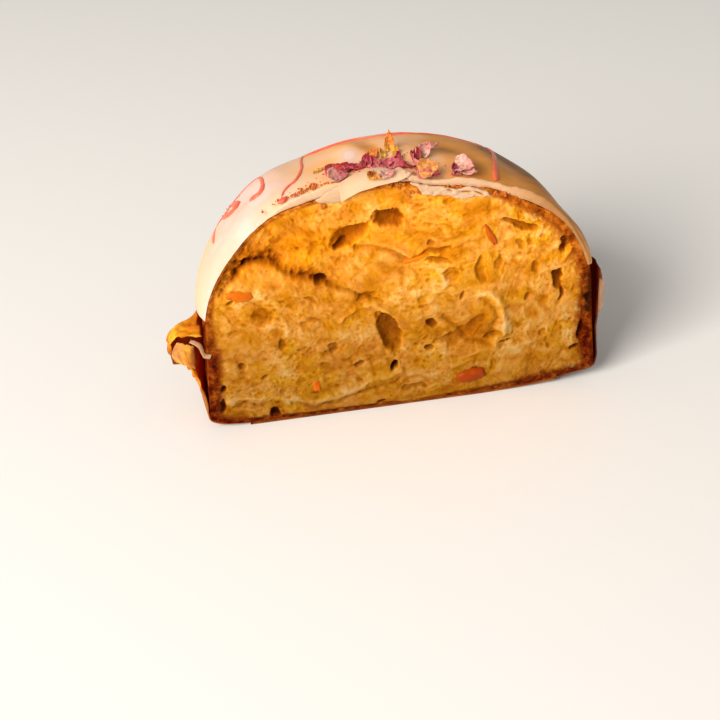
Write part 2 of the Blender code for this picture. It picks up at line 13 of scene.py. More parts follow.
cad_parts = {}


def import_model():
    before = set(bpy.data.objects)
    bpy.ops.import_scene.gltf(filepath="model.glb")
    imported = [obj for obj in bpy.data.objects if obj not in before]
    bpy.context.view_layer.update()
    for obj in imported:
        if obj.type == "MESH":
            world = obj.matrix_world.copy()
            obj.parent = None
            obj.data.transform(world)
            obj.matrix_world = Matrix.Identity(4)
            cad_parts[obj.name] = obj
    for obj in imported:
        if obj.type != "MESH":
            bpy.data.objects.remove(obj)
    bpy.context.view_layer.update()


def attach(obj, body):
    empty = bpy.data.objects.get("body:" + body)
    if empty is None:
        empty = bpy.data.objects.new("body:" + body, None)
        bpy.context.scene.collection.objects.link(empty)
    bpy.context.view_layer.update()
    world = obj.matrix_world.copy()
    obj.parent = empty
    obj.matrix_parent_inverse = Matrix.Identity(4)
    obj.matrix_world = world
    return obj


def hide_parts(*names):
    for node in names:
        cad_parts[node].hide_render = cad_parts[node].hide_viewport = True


MM = 0.001

# The loaf in millimetres, as the solid model has it: the plane of the cut, the dome with the powers of its
# curve, the wall that leans in, the round corner at its foot, and the height of the cut face's middle
CUT = -15.0
DOME_R = 94.2
DOME_FOOT = 55.0
LOAF_TOP = 120.5
DOME_R_POWER = 2.3
DOME_Z_POWER = 1.9
WALL_FOOT_R = 97.2
CORNER_W = 20.0
CORNER_H = 7.0
LOAF_FLOOR = 1.3
HEART_Z = 45.0

# The icing and the paper: thickness on the crown and at the rim, where the rim is, and the gaps to the loaf
ICING_TOP_T = 4.4
ICING_RIM_T = 2.4
ICING_RIM_Z = 64.0
ICING_GAP = 0.3
PAPER = 0.5
PAPER_GAP = 0.55
# Points of a mesh that are nearer than this are joined
WELD = 0.002

# How finely each surface is divided
FACE_COLUMNS = 388
FACE_ROWS = 226
CRUST_TURNS = 181
DOME_ROWS = 30
CORNER_ROWS = 12
ICING_COLUMNS = 250
ICING_ROWS = 110
PLATE_COLUMNS = 110
PLATE_ROWS = 30
PETAL_COLUMNS = 36
PETAL_ROWS = 24
WALL_ROWS = 74
WALL_COLUMNS = 280
BASE_ROWS = 14
LAPEL_STEPS = 40
TORN_STEPS = 60


def noise_hash(i, j, seed):
    """A repeatable number from 0 to 1 for each pair of whole numbers: products mixed by shifts and masks."""
    n = i.astype(np.int64) * 374761393 + j.astype(np.int64) * 668265263 + seed * 1442695041
    n = (n ^ (n >> 13)) & 0x7FFFFFFF
    n = (n * 1274126177) & 0x7FFFFFFFFFFF
    n = n ^ (n >> 16)
    return (n & 0xFFFFFF) / float(0x1000000)


def soft_noise(x, y, seed):
    """Smooth noise from -1 to 1: the corner values of each unit square blended by quintic weights."""
    i, j = np.floor(x), np.floor(y)
    u, v = x - i, y - j
    u = u * u * u * (u * (u * 6 - 15) + 10)
    v = v * v * v * (v * (v * 6 - 15) + 10)
    low = noise_hash(i, j, seed) * (1 - u) + noise_hash(i + 1, j, seed) * u
    high = noise_hash(i, j + 1, seed) * (1 - u) + noise_hash(i + 1, j + 1, seed) * u
    return (low * (1 - v) + high * v) * 2 - 1


def layered_noise(x, y, seed, layers=3):
    """Sum of smooth noises, each at twice the frequency and half the strength of the last."""
    total = np.zeros(np.broadcast(x, y).shape)
    for k in range(layers):
        total = total + soft_noise(x * 2**k + 17.3 * k, y * 2**k - 9.1 * k, seed + k) / 2**k
    return total


def pores(x, y, seed, share, least, most):
    """Round pits with a radius from least to most, one at a random place in a share of the unit squares.

    A pit is the root of one less the square of distance over radius, and the deepest one nearby counts.
    """
    i, j = np.floor(x), np.floor(y)
    deepest = np.zeros(np.shape(x))
    for di in (-1, 0, 1):
        for dj in (-1, 0, 1):
            a, b = i + di, j + dj
            cx = a + noise_hash(a, b, seed)
            cy = b + noise_hash(a, b, seed + 1)
            size = noise_hash(a, b, seed + 2)
            radius = least + (most - least) * size**2
            there = noise_hash(a, b, seed + 3) < share
            far = ((x - cx) ** 2 + (y - cy) ** 2) / radius**2
            pit = np.sqrt(np.clip(1 - far, 0, 1)) * (0.45 + 0.55 * size) * there
            deepest = np.maximum(deepest, pit)
    return deepest


def turned_axes(x, y, degrees, long, short):
    """Coordinates along and across a direction, divided by a long and a short unit."""
    c, s = math.cos(math.radians(degrees)), math.sin(math.radians(degrees))
    return (c * x + s * y) / long, (c * y - s * x) / short


def ramp(value, low, high):
    """0 below low, 1 above high, and a smooth rise between."""
    t = np.clip((value - low) / (high - low), 0, 1)
    return t * t * (3 - 2 * t)


def bump_at(x, y, cx, cy, wide, tall):
    """A soft bump of height 1: a bell curve of the distances over its half width and half height."""
    return np.exp(-(((x - cx) / wide) ** 2) - ((y - cy) / tall) ** 2)


def with_spots(level, x, y, spots):
    """A level with soft bumps added, each given by its centre, half width, half height and strength."""
    for cx, cy, wide, tall, strength in spots:
        level = level + strength * bump_at(x, y, cx, cy, wide, tall)
    return level


def ball_points(rows, columns):
    """A unit ball by latitude and longitude."""
    lat = np.linspace(-math.pi / 2, math.pi / 2, rows)[:, None]
    lon = np.linspace(0, 2 * math.pi, columns)[None]
    return np.stack([np.cos(lat) * np.cos(lon), np.cos(lat) * np.sin(lon), np.sin(lat) + 0 * lon], -1)


# How far the loaf departs from round: its higher left shoulder, the fall on the right, the dip by the crown
# and the curl of the lower right corner
SHOULDER_RISE = 2.6
SHOULDER_FALL = 3.0
CROWN_DIP = 2.4
CORNER_CURL = 3.6


def swell(x, y, z):
    """Carries points of a round loaf to their places on this one.

    Two sines of the angle make lobes in plan, and bell curves make the shoulders, the dip and the curl.
    """
    turn = np.arctan2(y, x)
    share = np.clip(z / LOAF_TOP, 0, 1)
    lobes = 0.006 * np.sin(2 * turn + 0.5) + 0.005 * np.sin(3 * turn - 1.2 + 2 * share)
    grow = 1 + lobes * np.sin(math.pi * share).clip(0) ** 0.7
    near_cut = np.exp(-(((y - CUT) / 55) ** 2))
    left = np.exp(-(((x + 60) / 16) ** 2))
    right = np.exp(-(((x - 60) / 16) ** 2))
    rise = (SHOULDER_RISE * left - SHOULDER_FALL * right) * near_cut
    rise = rise - CROWN_DIP * bump_at(x, y, 24, CUT, 17, 20)
    above = np.clip((z - 70) / 30, 0, 1)
    corner = np.clip((x - 35) / 50, 0, 1) ** 1.7 * np.clip(1 - z / 24, 0, 1)
    return np.stack([x * grow, y * grow, z + rise * above + CORNER_CURL * corner * near_cut], -1)


def dome_radius(z):
    """Radius of the dome by height: a superellipse of DOME_R_POWER across and DOME_Z_POWER up."""
    share = np.clip((z - DOME_FOOT) / (LOAF_TOP - DOME_FOOT), 0, 1)
    return DOME_R * (1 - share**DOME_Z_POWER) ** (1 / DOME_R_POWER)


def dome_height(radius):
    """The same curve read the other way: height above a radius."""
    share = np.clip(radius / DOME_R, 0, 1) ** DOME_R_POWER
    return DOME_FOOT + (LOAF_TOP - DOME_FOOT) * (1 - share) ** (1 / DOME_Z_POWER)


def loaf_radius(z):
    """Radius of the loaf by height: the elliptical base corner, the wall leaning in, then the dome."""
    drop = np.clip((CORNER_H - z) / (CORNER_H - LOAF_FLOOR), 0, 1)
    corner = WALL_FOOT_R - CORNER_W + CORNER_W * np.sqrt(1 - drop**2)
    wall = WALL_FOOT_R + (DOME_R - WALL_FOOT_R) * np.clip((z - CORNER_H) / (DOME_FOOT - CORNER_H), 0, 1)
    return np.where(z < CORNER_H, corner, np.where(z < DOME_FOOT, wall, dome_radius(z)))


def reach(theta, y):
    """How far a ray in the plane y goes, from above the loaf's middle at an angle, until it leaves the loaf.

    The place is found by halving the stretch from the middle to a place well outside.
    """
    shape = np.broadcast(theta, y).shape
    near, far = np.zeros(shape), np.full(shape, 140.0)
    for _ in range(34):
        middle = (near + far) / 2
        x, z = middle * np.cos(theta), HEART_Z + middle * np.sin(theta)
        inside = (np.hypot(x, y) < loaf_radius(z)) & (z > LOAF_FLOOR) & (z < LOAF_TOP)
        near = np.where(inside, middle, near)
        far = np.where(inside, far, middle)
    return near


def quads_of(index):
    """Four corners for each cell of a grid of point numbers."""
    return np.stack([index[:-1, :-1], index[:-1, 1:], index[1:, 1:], index[1:, :-1]], -1).reshape(-1, 4)


def rim_of(grid):
    """The points once round the outside of a grid, in order, with the first repeated at the end."""
    return np.concatenate([grid[0, :-1], grid[:-1, -1], grid[-1, :0:-1], grid[:0:-1, 0], grid[:1, 0]])


def skin(name, patches, fields=None):
    """One mesh from grids of points in millimetres: rims that meet are welded, and faces turned outwards.

    fields holds, for each name, one array of numbers for each patch, and becomes attributes of the points.
    """
    start, faces = 0, []
    for patch in patches:
        count = patch.shape[0] * patch.shape[1]
        faces.append(quads_of(start + np.arange(count).reshape(patch.shape[:2])))
        start += count
    faces = np.vstack(faces).astype(np.int32)
    points = np.vstack([patch.reshape(-1, 3) for patch in patches])
    mesh = bpy.data.meshes.new(name)
    mesh.vertices.add(len(points))
    mesh.vertices.foreach_set("co", (points * MM).astype(np.float32).ravel())
    mesh.loops.add(faces.size)
    mesh.loops.foreach_set("vertex_index", faces.ravel())
    mesh.polygons.add(len(faces))
    mesh.polygons.foreach_set("loop_start", np.arange(0, faces.size, 4, dtype=np.int32))
    mesh.update(calc_edges=True)
    for key, values in (fields or {}).items():
        layer = mesh.attributes.new(key, "FLOAT", "POINT")
        layer.data.foreach_set("value", np.concatenate([np.ravel(v) for v in values]).astype(np.float32))
    shape = bmesh.new()
    shape.from_mesh(mesh)
    bmesh.ops.remove_doubles(shape, verts=shape.verts, dist=WELD * MM)
    bmesh.ops.recalc_face_normals(shape, faces=shape.faces)
    shape.to_mesh(mesh)
    shape.free()
    mesh.shade_smooth()
    return mesh


def placed(name, data):
    """A new object for a mesh, a camera or a light, in the scene."""
    made = bpy.data.objects.new(name, data)
    bpy.context.scene.collection.objects.link(made)
    return made


def add_piece(name, mesh, material, slot, *nodes):
    """Puts a mesh in the scene as a piece that rides on the body and stands for solid nodes."""
    piece = placed(name, mesh)
    mesh.materials.append(material)
    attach(piece, "root")
    if nodes:
        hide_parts(*nodes)
    return piece


def thicken(piece, thickness):
    """Gives a sheet its thickness, half on either side, with its rim closed."""
    shell = piece.modifiers.new("thickness", "SOLIDIFY")
    shell.thickness = thickness * MM
    shell.offset = 0.0
    return piece


def coons(base, top, left, right):
    """A grid inside four boundary curves: the two blends of facing curves, less the blend of the corners."""
    u = np.linspace(0, 1, len(base))[None, :, None]
    v = np.linspace(0, 1, len(left))[:, None, None]
    corners = (1 - u) * (1 - v) * base[0] + u * (1 - v) * base[-1] + (1 - u) * v * top[0] + u * v * top[-1]
    return (1 - v) * base[None] + v * top[None] + (1 - u) * left[:, None] + u * right[:, None] - corners


def evenly(points, count):
    """A polyline read again at evenly spaced lengths."""
    run = np.concatenate([[0], np.cumsum(np.linalg.norm(np.diff(points, axis=0), axis=1))])
    even = np.linspace(0, run[-1], count)
    return np.stack([np.interp(even, run, points[:, k]) for k in range(points.shape[1])], -1)


# Hollows of the cut face: centre x and z, half width, half height, tilt in degrees, depth, and darkness,
# the painted shade in them
HOLLOWS = (
    (-5.3, 103.2, 7.6, 4.4, -8, 4.5, 0.7),
    (-22.5, 96.5, 9.0, 5.0, 25, 4.5, 0.56),
    (-27.5, 92.6, 3.2, 2.0, 40, 5, 1.0),
    (-6.8, 42.0, 5.2, 12.0, 15, 4.2, 0.68),
    (-4.9, 24.1, 2.1, 2.5, 0, 6, 1.0),
    (76.4, 59.4, 2.7, 6.2, 2, 3.0, 0.95),
    (77.8, 51.6, 1.0, 4.0, 0, 2.0, 0.75),
    (79.0, 77.2, 2.8, 4.4, -8, 4.5, 1.0),
    (57.0, 94.0, 10.0, 2.2, -26, 2.4, 0.62),
    (23.8, 69.6, 2.7, 4.6, 0, 1.4, 0.36),
    (38.1, 69.6, 2.4, 7.0, 3, 1.5, 0.36),
    (14.5, 43.6, 2.4, 2.6, 30, 3.0, 0.76),
    (13.5, 30.6, 2.4, 2.2, 0, 2.4, 0.62),
    (-64.0, 5.4, 2.7, 3.0, 0, 5, 0.95),
    (86.5, 20.2, 2.6, 1.5, 0, 3.5, 0.85),
    (31.5, 38.6, 12.5, 3.4, 41, 1.3, 0.3),
    (-58.8, 43.1, 1.8, 3.6, 4, 1.8, 0.42),
    (-34.2, 37.5, 1.7, 3.0, 0, 1.8, 0.36),
    (-77.0, 34.5, 2.0, 1.8, 30, 1.8, 0.45),
    (-66.5, 59.5, 4.6, 5.0, 0, 1.0, 0.25),
    (89.2, 30.0, 1.6, 6.0, -2, 5, 1.0),
    (-38.4, 75.2, 3.2, 3.6, 0, 8, 1.0),
    (22.0, 34.0, 8.0, 2.2, 12, 1.4, 0.34),
    (44.0, 33.5, 4.5, 1.5, 25, 2.0, 0.45),
    (50.0, 29.5, 3.0, 1.2, 5, 2.2, 0.55),
    (58.0, 82.0, 3.0, 1.6, -50, 1.6, 0.3),
    (61.5, 52.0, 2.2, 1.9, 20, 1.8, 0.42),
    (14.5, 88.5, 1.8, 1.8, 0, 1.4, 0.3),
    (-17.0, 63.0, 5.2, 2.0, 30, 1.8, 0.3),
    (-81.0, 68.8, 1.6, 1.2, 0, 1.6, 0.5),
    (-88.5, 21.5, 1.5, 2.0, 0, 3.0, 0.9),
    (-12.5, 4.2, 2.2, 1.5, 20, 1.8, 0.7),
    (5.0, 9.5, 6.0, 1.4, 0, 1.2, 0.3),
    (70.0, 30.5, 2.2, 2.2, -20, 1.2, 0.3),
    (19.5, 78.6, 6.0, 1.8, -14, 1.8, 0.42),
    (-89.0, 12.0, 1.4, 4.0, 0, 3.0, 1.0),
    (-44.0, 66.0, 3.4, 1.4, -30, 1.4, 0.3),
    (10.0, 58.5, 3.0, 2.4, -10, 1.2, 0.28),
    (29.0, 58.0, 2.2, 1.5, 70, 1.5, 0.42),
    (64.0, 68.0, 1.8, 2.6, 10, 1.4, 0.34),
    (48.0, 73.0, 2.0, 3.4, -16, 1.2, 0.3),
    (-68.0, 26.0, 2.2, 1.4, 14, 1.2, 0.34),
    (-22.0, 27.0, 2.0, 1.3, 0, 1.2, 0.34),
)
# Soft swells that stand forward: centre x and z, half width, half height, height
LOBES = (
    (-60, 76, 22, 9, 2.2),
    (14, 66, 24, 15, 2.0),
    (28, 99, 26, 9, 1.2),
    (-3, 4, 11, 4, 2.0),
    (-46, 84, 10, 6, 1.6),
    (-44, 94, 4, 5, 1.2),
    (-70, 90, 5, 3, 1.2),
    (45, 52, 6, 16, 1.2),
)
# Strands and creases: points in millimetres, half width, height (below nought for a crease)
STRANDS = (
    (((-86, 16), (-70, 15.7), (-56, 12), (-41, 8), (-30, 12), (-16, 16), (-3, 19.5)), 1.7, 1.5),
    (((-84, 12), (-66, 11), (-42, 4.5), (-30, 8), (-14, 12), (-2, 15)), 1.2, -1.3),
    (((38, 58), (42, 58.5), (46, 56), (49, 50), (50, 42), (48, 34), (45, 28)), 2.2, 2.2),
    (((40, 54), (44, 50), (45.5, 43), (44, 36)), 1.4, -1.3),
    (((-36, 73), (-27, 68), (-18, 63), (-9, 60)), 0.9, -2.2),
    (((-20, 89), (-12, 88), (-3, 84), (4, 80), (16, 84), (24, 86)), 1.1, -1.9),
    (((-2, 87), (3, 83), (10, 80.5), (18, 82.5)), 1.0, 1.1),
    (((20, 48), (26, 40), (33, 33), (42, 28)), 1.2, -1.2),
    (((30, 24), (42, 26), (55, 24), (66, 28)), 1.4, 1.1),
    (((-30, 52), (-22, 57), (-14, 58), (-8, 55)), 1.3, 1.1),
    (((-72, 62), (-60, 57), (-48, 58), (-38, 52)), 1.2, -0.9),
    (((-2, 18), (12, 15), (24, 19), (34, 21)), 1.3, 0.9),
)
# The tear from the left crust towards the middle: where it runs, x and z, how deep it is along its way, and
# how far its roof and its lower lip reach
TEAR = (
    (-84, 75), (-80, 79), (-77, 82), (-73, 85.5), (-68, 87.5), (-62, 86.5), (-58, 84),
    (-53, 80.5), (-48, 78.5), (-43, 76.5), (-37, 74), (-31, 71.5), (-24, 67),
)
TEAR_SHARE = (0, 0.15, 0.28, 0.45, 0.55, 0.7, 0.8, 1)
TEAR_FADE = (0.45, 0.7, 1.0, 0.95, 0.5, 0.65, 0.6, 0.1)
TEAR_DEPTH = 6.5
TEAR_ROOF = 6.5
TEAR_LIP = 1.3
# How thick the brown of the crust looks on the cut, at angles round the face in degrees from the right
CRUST_AT = (-180, -160, -152, -140, -100, -92, -82, -60, -40, -26, -15, 5, 20, 40, 80, 120, 150, 165, 180)
CRUST_WIDE = (8.0, 8.5, 4.6, 2.6, 2.2, 0.8, 1.2, 2.6, 4.6, 7.5, 12.0, 8.5, 8.5, 6.6, 3.2, 2.4, 3.2, 3.6, 6.0)
# How dark it is baked there
CRUST_BAKE = (
    0.95, 1.0, 1.0, 0.85, 0.8, 0.4, 0.5, 0.85, 0.85, 0.95,
    1.0, 0.8, 0.6, 0.5, 0.35, 0.15, 0.1, 0.25, 0.8,
)
# Painted shade: the crumb is darker low down, where less light falls: height and share of the full colour
PAINTED_SHADE_AT = (0, 10, 24, 42, 60, 78, 96, 112)
PAINTED_SHADE = (0.44, 0.48, 0.54, 0.62, 0.78, 0.9, 0.95, 1.0)
# Lighter and darker places of the crumb: centre x and z, half width, half height, tone, cream
PLACES = (
    (-62, 70, 15, 6, 0.06, 0.3),
    (6, 68, 12, 9, 0.05, 0.2),
    (48, 45, 7, 12, 0.06, 0.3),
    (64, 56, 10, 16, 0.02, 0.15),
    (-24, 56, 7, 4, -0.15, -0.4),
    (-46, 52, 9, 6, -0.1, -0.2),
    (25, 80, 6, 3, -0.14, -0.4),
    (46, 104, 14, 3, -0.14, -0.5),
    (-47, 86, 8, 5, 0.1, -0.5),
    (17, 70, 3, 3, 0, -0.9),
    (26, 69, 2.5, 3.5, -0.05, -0.9),
    (-15, 61, 5, 3, 0.04, -0.8),
    (-24, 33, 14, 5, -0.05, 0.1),
    (52, 24, 10, 4, 0.06, 0),
    (47, 16, 6, 3, 0.06, -0.5),
    (-74, 46, 8, 10, 0, 0.15),
    (-2, 94, 20, 5, 0.02, -0.3),
    (58, 78, 14, 5, 0.03, 0.1),
    (16, 63, 8, 6, 0.1, 0.4),
    (-66, 74, 12, 4, 0.09, 0.3),
    (-28, 78, 7, 4, 0.09, 0.3),
    (68, 90, 9, 6, 0.06, 0.3),
    (20, 47, 6, 7, 0.06, 0.3),
    (-30, 44, 9, 6, 0.05, 0.3),
    (2, 58, 5, 6, 0.06, 0.3),
    (66, 44, 8, 9, 0.05, 0.3),
    (-57, 32, 10, 8, 0.04, 0.2),
    (36, 22, 7, 4, -0.08, -0.5),
    (33, 42, 8, 5, -0.08, -0.6),
    (-28, 66, 9, 4, -0.06, -0.5),
    (-52, 92, 10, 5, -0.07, -0.3),
    (-45, 94, 3, 4, 0.14, 0.8),
    (-34, 88, 4, 4, 0.1, 0.5),
    (-66, 96, 8, 3, 0.08, 0.5),
)
# Shaded places under the icing: centre x and z, half width, half height, tone
DARK_PLACES = ((-62, 100, 15, 5, -0.08), (-24, 108, 14, 4, -0.08))
# Yolk-orange places over the tear, under the crown, by the peel and in the middle folds: centre x and z,
# half width, half height, share
WARM_PLACES = (
    (-48, 91, 34, 11, 0.7),
    (-10, 100, 44, 8, 0.55),
    (-40, 76, 17, 5, 0.6),
    (40, 30, 26, 8, 0.45),
    (22, 80, 12, 8, 0.5),
    (36, 42, 12, 9, 0.35),
    (-68, 60, 14, 8, 0.35),
)


def billows(x, y, seed):
    """Rounded clumps with creases between them, from 0 to 1: the size of smooth noise, in two layers."""
    amount = np.abs(soft_noise(x, y, seed)) + np.abs(soft_noise(x * 2 + 5.7, y * 2 + 3.1, seed + 1)) / 2
    return np.clip(amount * 1.1, 0, 1)


def line_distance(x, z, line):
    """Signed distance to a line of points, above it positive, and the share of the way along it."""
    best, side, along = np.full(x.shape, 1e9), np.zeros(x.shape), np.zeros(x.shape)
    line = np.array(line, float)
    for i in range(len(line) - 1):
        a, step = line[i], line[i + 1] - line[i]
        share = np.clip(((x - a[0]) * step[0] + (z - a[1]) * step[1]) / (step @ step), 0, 1)
        dx, dz = x - a[0] - share * step[0], z - a[1] - share * step[1]
        gap = np.hypot(dx, dz)
        nearer = gap < best
        best = np.where(nearer, gap, best)
        side = np.where(nearer, np.where(step[0] * dz - step[1] * dx < 0, -1, 1), side)
        along = np.where(nearer, (i + share) / (len(line) - 1), along)
    return best * side, along


def hollows(x, z, ragged):
    """Depth and darkness of the named hollows and the tear; the darkness is painted shade.

    A hollow is a bowl, one less the squares across and up, with a ragged rim; its painted shade is darker
    towards its top. The tear fades slowly upwards from its line, by a power of e, and fast downwards, by a
    bell curve, and its painted shade fades with it.
    """
    deep, dark = np.zeros(x.shape), np.zeros(x.shape)
    for cx, cz, half_w, half_h, tilt, depth, hollow_shade in HOLLOWS:
        u, v = turned_axes(x - cx, z - cz, tilt, half_w, half_h)
        bowl = np.clip(1.15 + 0.22 * ragged - u**2 - v**2, 0, 1) ** 0.8
        deep = np.maximum(deep, depth * bowl)
        # Painted shade in the hollow, darker towards its top
        dark = np.maximum(dark, hollow_shade * np.clip(bowl * 1.9, 0, 1) * np.clip(0.85 + 0.22 * v, 0.6, 1.1))
    gap, along = line_distance(x, z, TEAR)
    fade = np.interp(along, TEAR_SHARE, TEAR_FADE) * (0.85 + 0.3 * ragged)
    tear = fade * np.exp(-gap.clip(0) / TEAR_ROOF) * np.exp(-((gap.clip(None, 0) / TEAR_LIP) ** 2))
    deep = np.maximum(deep, TEAR_DEPTH * tear)
    return deep, np.maximum(dark, 0.95 * np.clip(tear * 1.15, 0, 1) ** 1.1)


def strands(form, x, z):
    """Strands and creases added to a form, with their painted light and shade: bells across their lines."""
    light = np.zeros(x.shape)
    for line, half, height in STRANDS:
        bell = np.exp(-((line_distance(x, z, line)[0] / half) ** 2))
        form = form - 0.8 * height * bell
        light = light + np.sign(height) * bell * min(abs(height) / 2, 1)
    return form, light


def crumb_grain(x, z, wx, wz):
    """Small and middle pores, fibres and clumps of the crumb, from noise drawn out along the grain.

    The grain slants on the left, stands upright on the right and lies flat below.
    """
    slant = ramp(-x, -10, 30) * ramp(z, 34, 56)
    upright = ramp(x, 22, 52)
    level = 1 - np.clip(slant + upright, 0, 1)
    small, middle, fibre, clump = (np.zeros(x.shape) for _ in range(4))
    for weight, angle, seed in ((slant, -50, 31), (upright, 80, 47), (level, 10, 63)):
        u, v = turned_axes(wx, wz, angle, 2.7, 2.1)
        small = small + weight * pores(u, v, seed, 0.62, 0.2, 0.52)
        u, v = turned_axes(wx, wz, angle, 7.0, 5.0)
        middle = middle + weight * pores(u, v, seed + 5, 0.42, 0.16, 0.42)
        u, v = turned_axes(wx, wz, angle, 2.3, 1.2)
        fibre = fibre + weight * layered_noise(u, v, seed + 9, 3)
        u, v = turned_axes(wx, wz, angle, 7.5, 5.5)
        clump = clump + weight * billows(u, v, seed + 13)
    return small, middle, fibre, clump


def crumb_relief(x, z, edge):
    """Depth of the torn crumb behind the cut, its tone from dark to light, and how creamy it is.

    Named hollows and strands come first, at places shifted by slow noise. Between them are torn clumps with
    creases, fibres and pores of three sizes. Clumps and fibres are light, the clumps where they stand forward
    as painted light; hollows, pores and creases are dark and less creamy, as painted shade.
    """
    ragged = layered_noise(x / 2.2, z / 2.2, 11, 4)
    wx = x + 1.3 * soft_noise(x / 6.5, z / 6.5, 21) + 0.4 * soft_noise(x / 2.1, z / 2.1, 23)
    wz = z + 1.3 * soft_noise(x / 6.5, z / 6.5, 22) + 0.4 * soft_noise(x / 2.1, z / 2.1, 24)
    calm = ramp(edge, 0.6, 5.0)
    deep, dark = hollows(wx, wz, ragged)
    inside = 1 - 0.75 * np.clip(deep / 3, 0, 1)
    form, light = strands(-with_spots(np.zeros(x.shape), x, z, LOBES), wx, wz)
    small, middle, fibre, clump = crumb_grain(x, z, wx, wz)
    tiny = pores(wx / 1.3, wz / 1.3, 83, 0.6, 0.2, 0.55)
    rough = layered_noise(x / 1.2, z / 1.2, 91, 2)
    broad = layered_noise(x / 19, z / 15, 101, 3)
    busy = np.clip(0.75 + 0.5 * broad, 0.3, 1.2)
    pitted = calm * inside * busy * (0.42 * small + 0.6 * middle**1.5 + 0.25 * tiny)
    fine = inside * (0.1 * fibre + 0.06 * rough - 0.6 * (clump - 0.35) * calm)
    depth = (deep + pitted) * ramp(edge, 0, 1.6) + form * calm + fine
    # Painted light on forward clumps and strands, painted shade in pores, hollows, the tear and creases
    lift = 0.08 * fibre + 0.03 * rough + 0.21 * (clump - 0.35)
    pit_shade = 0.16 * small + 0.2 * middle + 0.07 * tiny
    tone = 0.655 + inside * (lift - pit_shade * calm * busy) + 0.2 * light + 0.07 * broad - 0.62 * dark
    tone = with_spots(tone, x, z, DARK_PLACES)
    milk = layered_noise(wx / 7, wz / 5.5, 141, 3)
    creamy = 0.62 + 0.75 * milk + 0.15 * fibre - 0.7 * middle - 0.5 * small + 0.5 * light - 1.6 * dark
    tone = tone + inside * 0.07 * milk
    for cx, cz, half_w, half_h, pale, milky in PLACES:
        spot = bump_at(wx, wz, cx, cz, half_w, half_h) * (1 + 0.5 * ragged)
        tone, creamy = tone + pale * spot, creamy + milky * spot
    return depth, np.clip(tone, 0, 1), np.clip(creamy, 0, 1)


def warm_places(x, z):
    """Where the crumb is yolk-orange, from 0 to 1: the named places, and a broad mottle over all of it."""
    return with_spots(0.0, x, z, WARM_PLACES) + 0.22 * layered_noise(x / 9, z / 7, 131, 3)


def sheltered(x, z):
    """Share of light left in the notch between the loaf's right edge and the paper, from 40 to 63 mm up."""
    wander = layered_noise(x / 4, z / 4, 151, 3)
    notch = 0.85 * ramp(x + 1.6 * wander, 88.2, 91.4)
    notch = notch * ramp(z + 5 * wander, 36, 46) * (1 - ramp(z + 4 * wander, 58, 66))
    return 1 - notch


def face_grid():
    """The cut face's outline filled with a grid: the base, the two sides and the top, each evenly spaced."""
    low, high = math.radians(-24.5), math.radians(33)

    def curve(start, end, count):
        fine = np.linspace(start, end, 2400)
        radius = reach(fine, CUT)
        return evenly(np.stack([radius * np.cos(fine), HEART_Z + radius * np.sin(fine)], -1), count)

    base = curve(-math.pi - low, low, FACE_COLUMNS)
    top = curve(math.pi - high, high, FACE_COLUMNS)
    left = curve(math.pi - low, math.pi - high, FACE_ROWS)
    right = curve(low, high, FACE_ROWS)
    return coons(base, top, left, right)


def make_crumb(material):
    """The cut face with its relief, and the loaf's outer surface carried back from it to a flat back."""
    grid = face_grid()
    x, z = grid[..., 0], grid[..., 1]
    angle = np.arctan2(z - HEART_Z, x)
    around = np.linspace(-math.pi, math.pi, 1441)
    limit = np.interp(angle, around, reach(around, CUT))
    edge = np.minimum((limit - np.hypot(x, z - HEART_Z)) * 0.93, z - LOAF_FLOOR).clip(0)
    depth, tone, creamy = crumb_relief(x, z, edge)
    crust = np.exp(-((edge / np.interp(np.degrees(angle), CRUST_AT, CRUST_WIDE)) ** 1.6))
    drift = 0.35 * ramp(depth, 1, 6)
    px = x + drift * soft_noise(x / 2.2, z / 2.2, 5)
    pz = z + drift * soft_noise(x / 2.2, z / 2.2, 6)
    front = swell(px, CUT + depth, pz)
    ring = rim_of(grid)
    theta = np.arctan2(ring[:, 1] - HEART_Z, ring[:, 0])
    rows = [rim_of(front)]
    for y in (CUT + 1.2, CUT + 4, CUT + 9, 0.8):
        radius = reach(theta, y) - 0.12
        rows.append(swell(radius * np.cos(theta), np.full(theta.shape, y), HEART_Z + radius * np.sin(theta)))
    rows.append(np.broadcast_to(rows[-1].mean(0), rows[-1].shape))
    rim = np.stack(rows)
    plain = np.zeros(rim.shape[:2])
    # Painted shade: darker low down, a little darker on the left, and near black in the notch by the paper
    painted_shade = np.interp(z, PAINTED_SHADE_AT, PAINTED_SHADE) * (0.93 + 0.07 * ramp(x, -60, 30)) * sheltered(x, z)
    fields = {
        "tone": (tone, plain + 0.5),
        "crust": (crust, plain + 1),
        "warm": (warm_places(x, z), plain),
        "creamy": (creamy, plain + 0.5),
        "painted_shade": (painted_shade, plain + 0.8),
        "bake": (np.interp(np.degrees(angle), CRUST_AT, CRUST_BAKE), plain + 0.9),
    }
    return add_piece("crumb", skin("crumb", (front, rim), fields), material, "crumb", "loaf")


